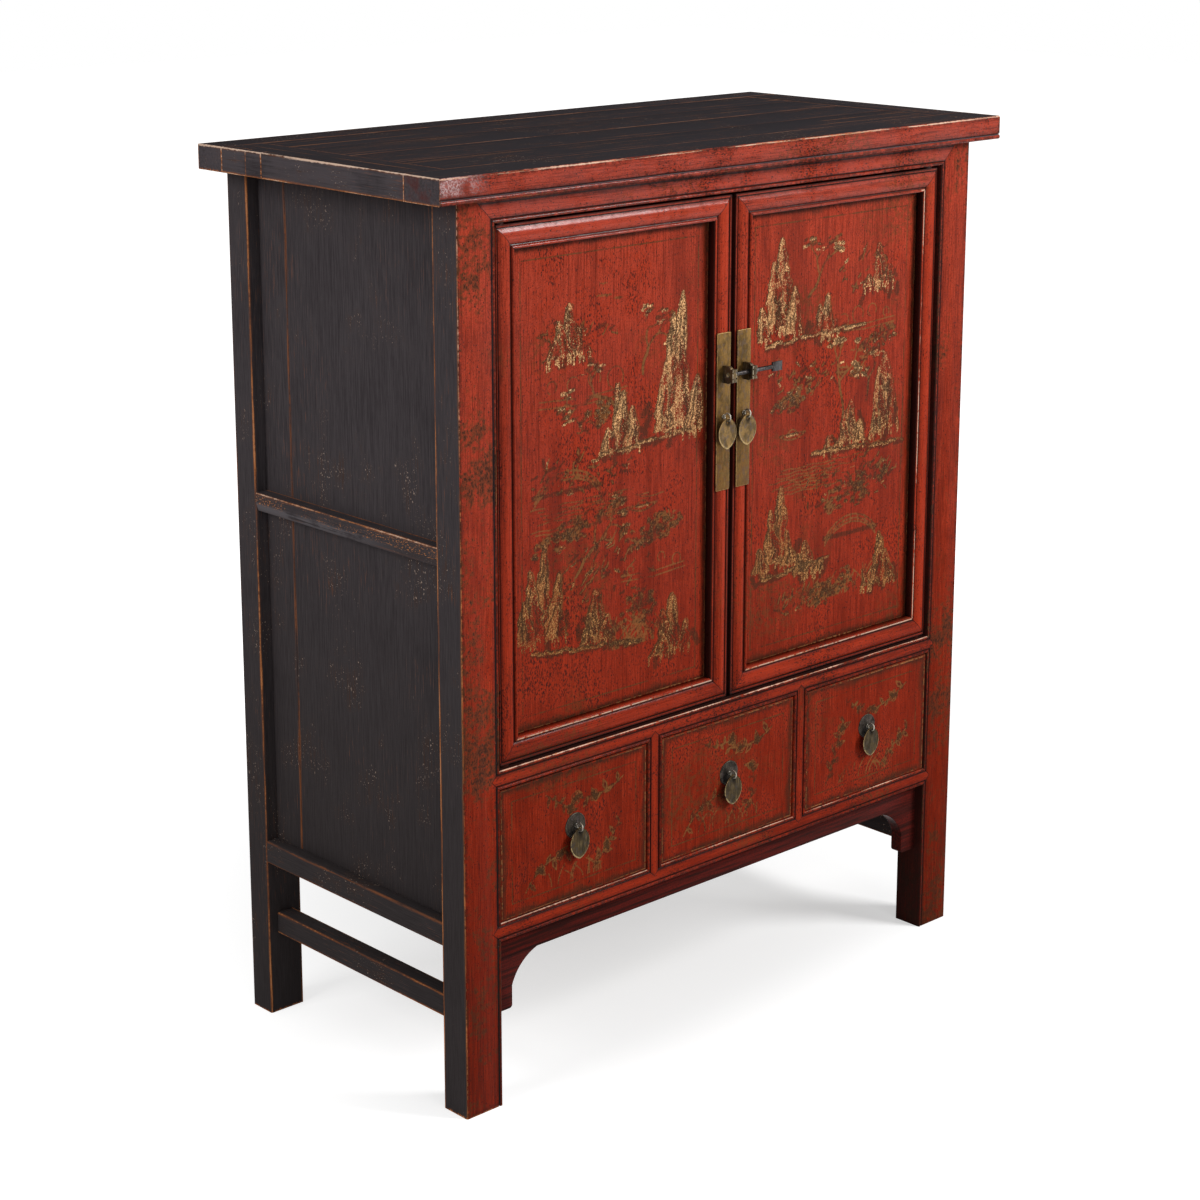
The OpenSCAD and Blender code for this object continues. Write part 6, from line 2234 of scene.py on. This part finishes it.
@dataclass
class Studio:
    """Camera, lamps, world and the pale floor."""

    camera_at: Point = (-2.4971, -2.6414, 1.6519)
    camera_turn: Point = (76.559, 0.0, -42.929)
    lens: float = 77.75
    shift: tuple[float, float] = (0.0024, -0.12)
    ambient: float = 0.30

    def build(self) -> None:
        """Builds the studio."""
        scene = bpy.context.scene
        scene.view_settings.view_transform = "Standard"
        self._camera(scene)
        self._world(scene)
        self._floor()
        self._lamp("key_light", (2.4, -3.3, 3.1), (0.0, 0.0, 0.75), 1.5, 200.0)
        self._lamp("front_light", (-0.8, -4.2, 2.6), (0.0, 0.0, 0.8), 2.0, 26.0)
        self._lamp("left_light", (-4.0, 0.2, 2.6), (0.0, 0.0, 0.9), 2.0, 60.0)

    def _camera(self, scene: bpy.types.Scene) -> None:
        """Adds the camera at the photograph's viewpoint."""
        data = bpy.data.cameras.new("view_camera")
        data.sensor_width, data.lens = 36.0, self.lens
        data.shift_x, data.shift_y = self.shift
        data.clip_end = 60.0
        camera = bpy.data.objects.new("view_camera", data)
        camera.location = self.camera_at
        camera.rotation_euler = [math.radians(a) for a in self.camera_turn]
        scene.collection.objects.link(camera)
        scene.camera = camera

    def _world(self, scene: bpy.types.Scene) -> None:
        """Makes a soft grey world that the camera and mirrors see as white."""
        world = bpy.data.worlds.new("studio_world")
        world.use_nodes = True
        scene.world = world
        t = Tree(world.node_tree)
        world.node_tree.nodes.clear()
        share = self._seen(t)
        glow = t.node("ShaderNodeBackground", {}, {"Color": (1.0, 1.0, 1.0), "Strength": 1.0})
        soft = t.node(
            "ShaderNodeBackground", {}, {"Color": (1.0, 1.0, 1.0), "Strength": self.ambient}
        )
        both = t.node("ShaderNodeMixShader", {}, {0: share, 1: soft, 2: glow})
        end = world.node_tree.nodes.new("ShaderNodeOutputWorld")
        world.node_tree.links.new(both.socket, end.inputs["Surface"])

    @staticmethod
    def _seen(t: Tree) -> Wire:
        """Gives 1 for rays from the camera and for mirrored or refracted ones."""
        path = t.tree.nodes.new("ShaderNodeLightPath").outputs
        rays = [Wire(t, path[k]) for k in (
            "Is Camera Ray", "Is Glossy Ray", "Is Transmission Ray"
        )]
        return rays[0].most(rays[1]).most(rays[2])

    def _floor(self) -> None:
        """Adds the pale floor that keeps the cabinet's shadow, with a painted shadow too: its
        glow is weaker near the cabinet and in an oval by the front of its left half.
        """
        mesh = bpy.data.meshes.new("studio_floor")
        reach = 14.0
        mesh.from_pydata(
            [(-reach, -reach, 0), (reach, -reach, 0), (reach, reach, 0), (-reach, reach, 0)],
            [], [(0, 1, 2, 3)],
        )
        floor = bpy.data.objects.new("studio_floor", mesh)
        bpy.context.scene.collection.objects.link(floor)
        s = Shader("floor_paper")
        share = self._seen(s)
        lit = s.node("ShaderNodeBsdfDiffuse", {}, {"Color": (0.62, 0.62, 0.62)})
        plain = s.node("ShaderNodeBsdfDiffuse", {}, {"Color": (0.50, 0.50, 0.50)})
        # painted shadow: the glow is weaker near the cabinet, so the floor there stays grey
        middle = s.vector("SUBTRACT", s.place, (0.75, -0.2, 0.0))
        away = s.vector("LENGTH", middle, (0.0, 0.0, 0.0), "Value").band(0.8, 1.9)
        # painted shadow: a dimmer oval by the front of the cabinet's left half
        front = s.vector("SUBTRACT", s.place, (-0.12, -0.13, 0.0))
        front = s.vector("MULTIPLY", front, (1.6, 7.0, 0.0))
        front = s.vector("LENGTH", front, (0.0, 0.0, 0.0), "Value").band(0.5, 1.5)
        glow_and_painted_shadow = s.mix(front, (0.43, 0.43, 0.43), (0.56, 0.56, 0.56))
        glow_and_painted_shadow = s.mix(away, glow_and_painted_shadow, (1.0, 1.0, 1.0))
        glow = s.node("ShaderNodeEmission", {}, {"Color": glow_and_painted_shadow, "Strength": 1.0})
        shown = s.node("ShaderNodeAddShader", {}, {0: lit, 1: glow})
        both = s.node("ShaderNodeMixShader", {}, {0: share, 1: plain, 2: shown})
        end = s.tree.nodes.new("ShaderNodeOutputMaterial")
        s.tree.links.new(both.socket, end.inputs["Surface"])
        mesh.materials.append(s.material)

    @staticmethod
    def _lamp(name: str, at: Point, to: Point, size: float, power: float) -> None:
        """Adds one soft square lamp.

        Args:
            name: name of the lamp.
            at: its place.
            to: the point that it faces.
            size: length of its side.
            power: its power in watts.
        """
        data = bpy.data.lights.new(name, "AREA")
        data.size, data.energy = size, power
        lamp = bpy.data.objects.new(name, data)
        lamp.location = at
        aim = Vector(to) - Vector(at)
        lamp.rotation_euler = aim.to_track_quat("-Z", "Y").to_euler()
        bpy.context.scene.collection.objects.link(lamp)


def main() -> None:
    """Builds the cabinet and its studio, and reports each piece."""
    logging.basicConfig(level=logging.INFO, format="%(name)s %(message)s")
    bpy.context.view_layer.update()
    finishes = Finishes()
    Studio().build()
    Timber(finishes).build()
    BoardRows(finishes).build()
    Pictures(finishes).build()
    Fittings(finishes).build()


if __name__ == "__main__":
    main()
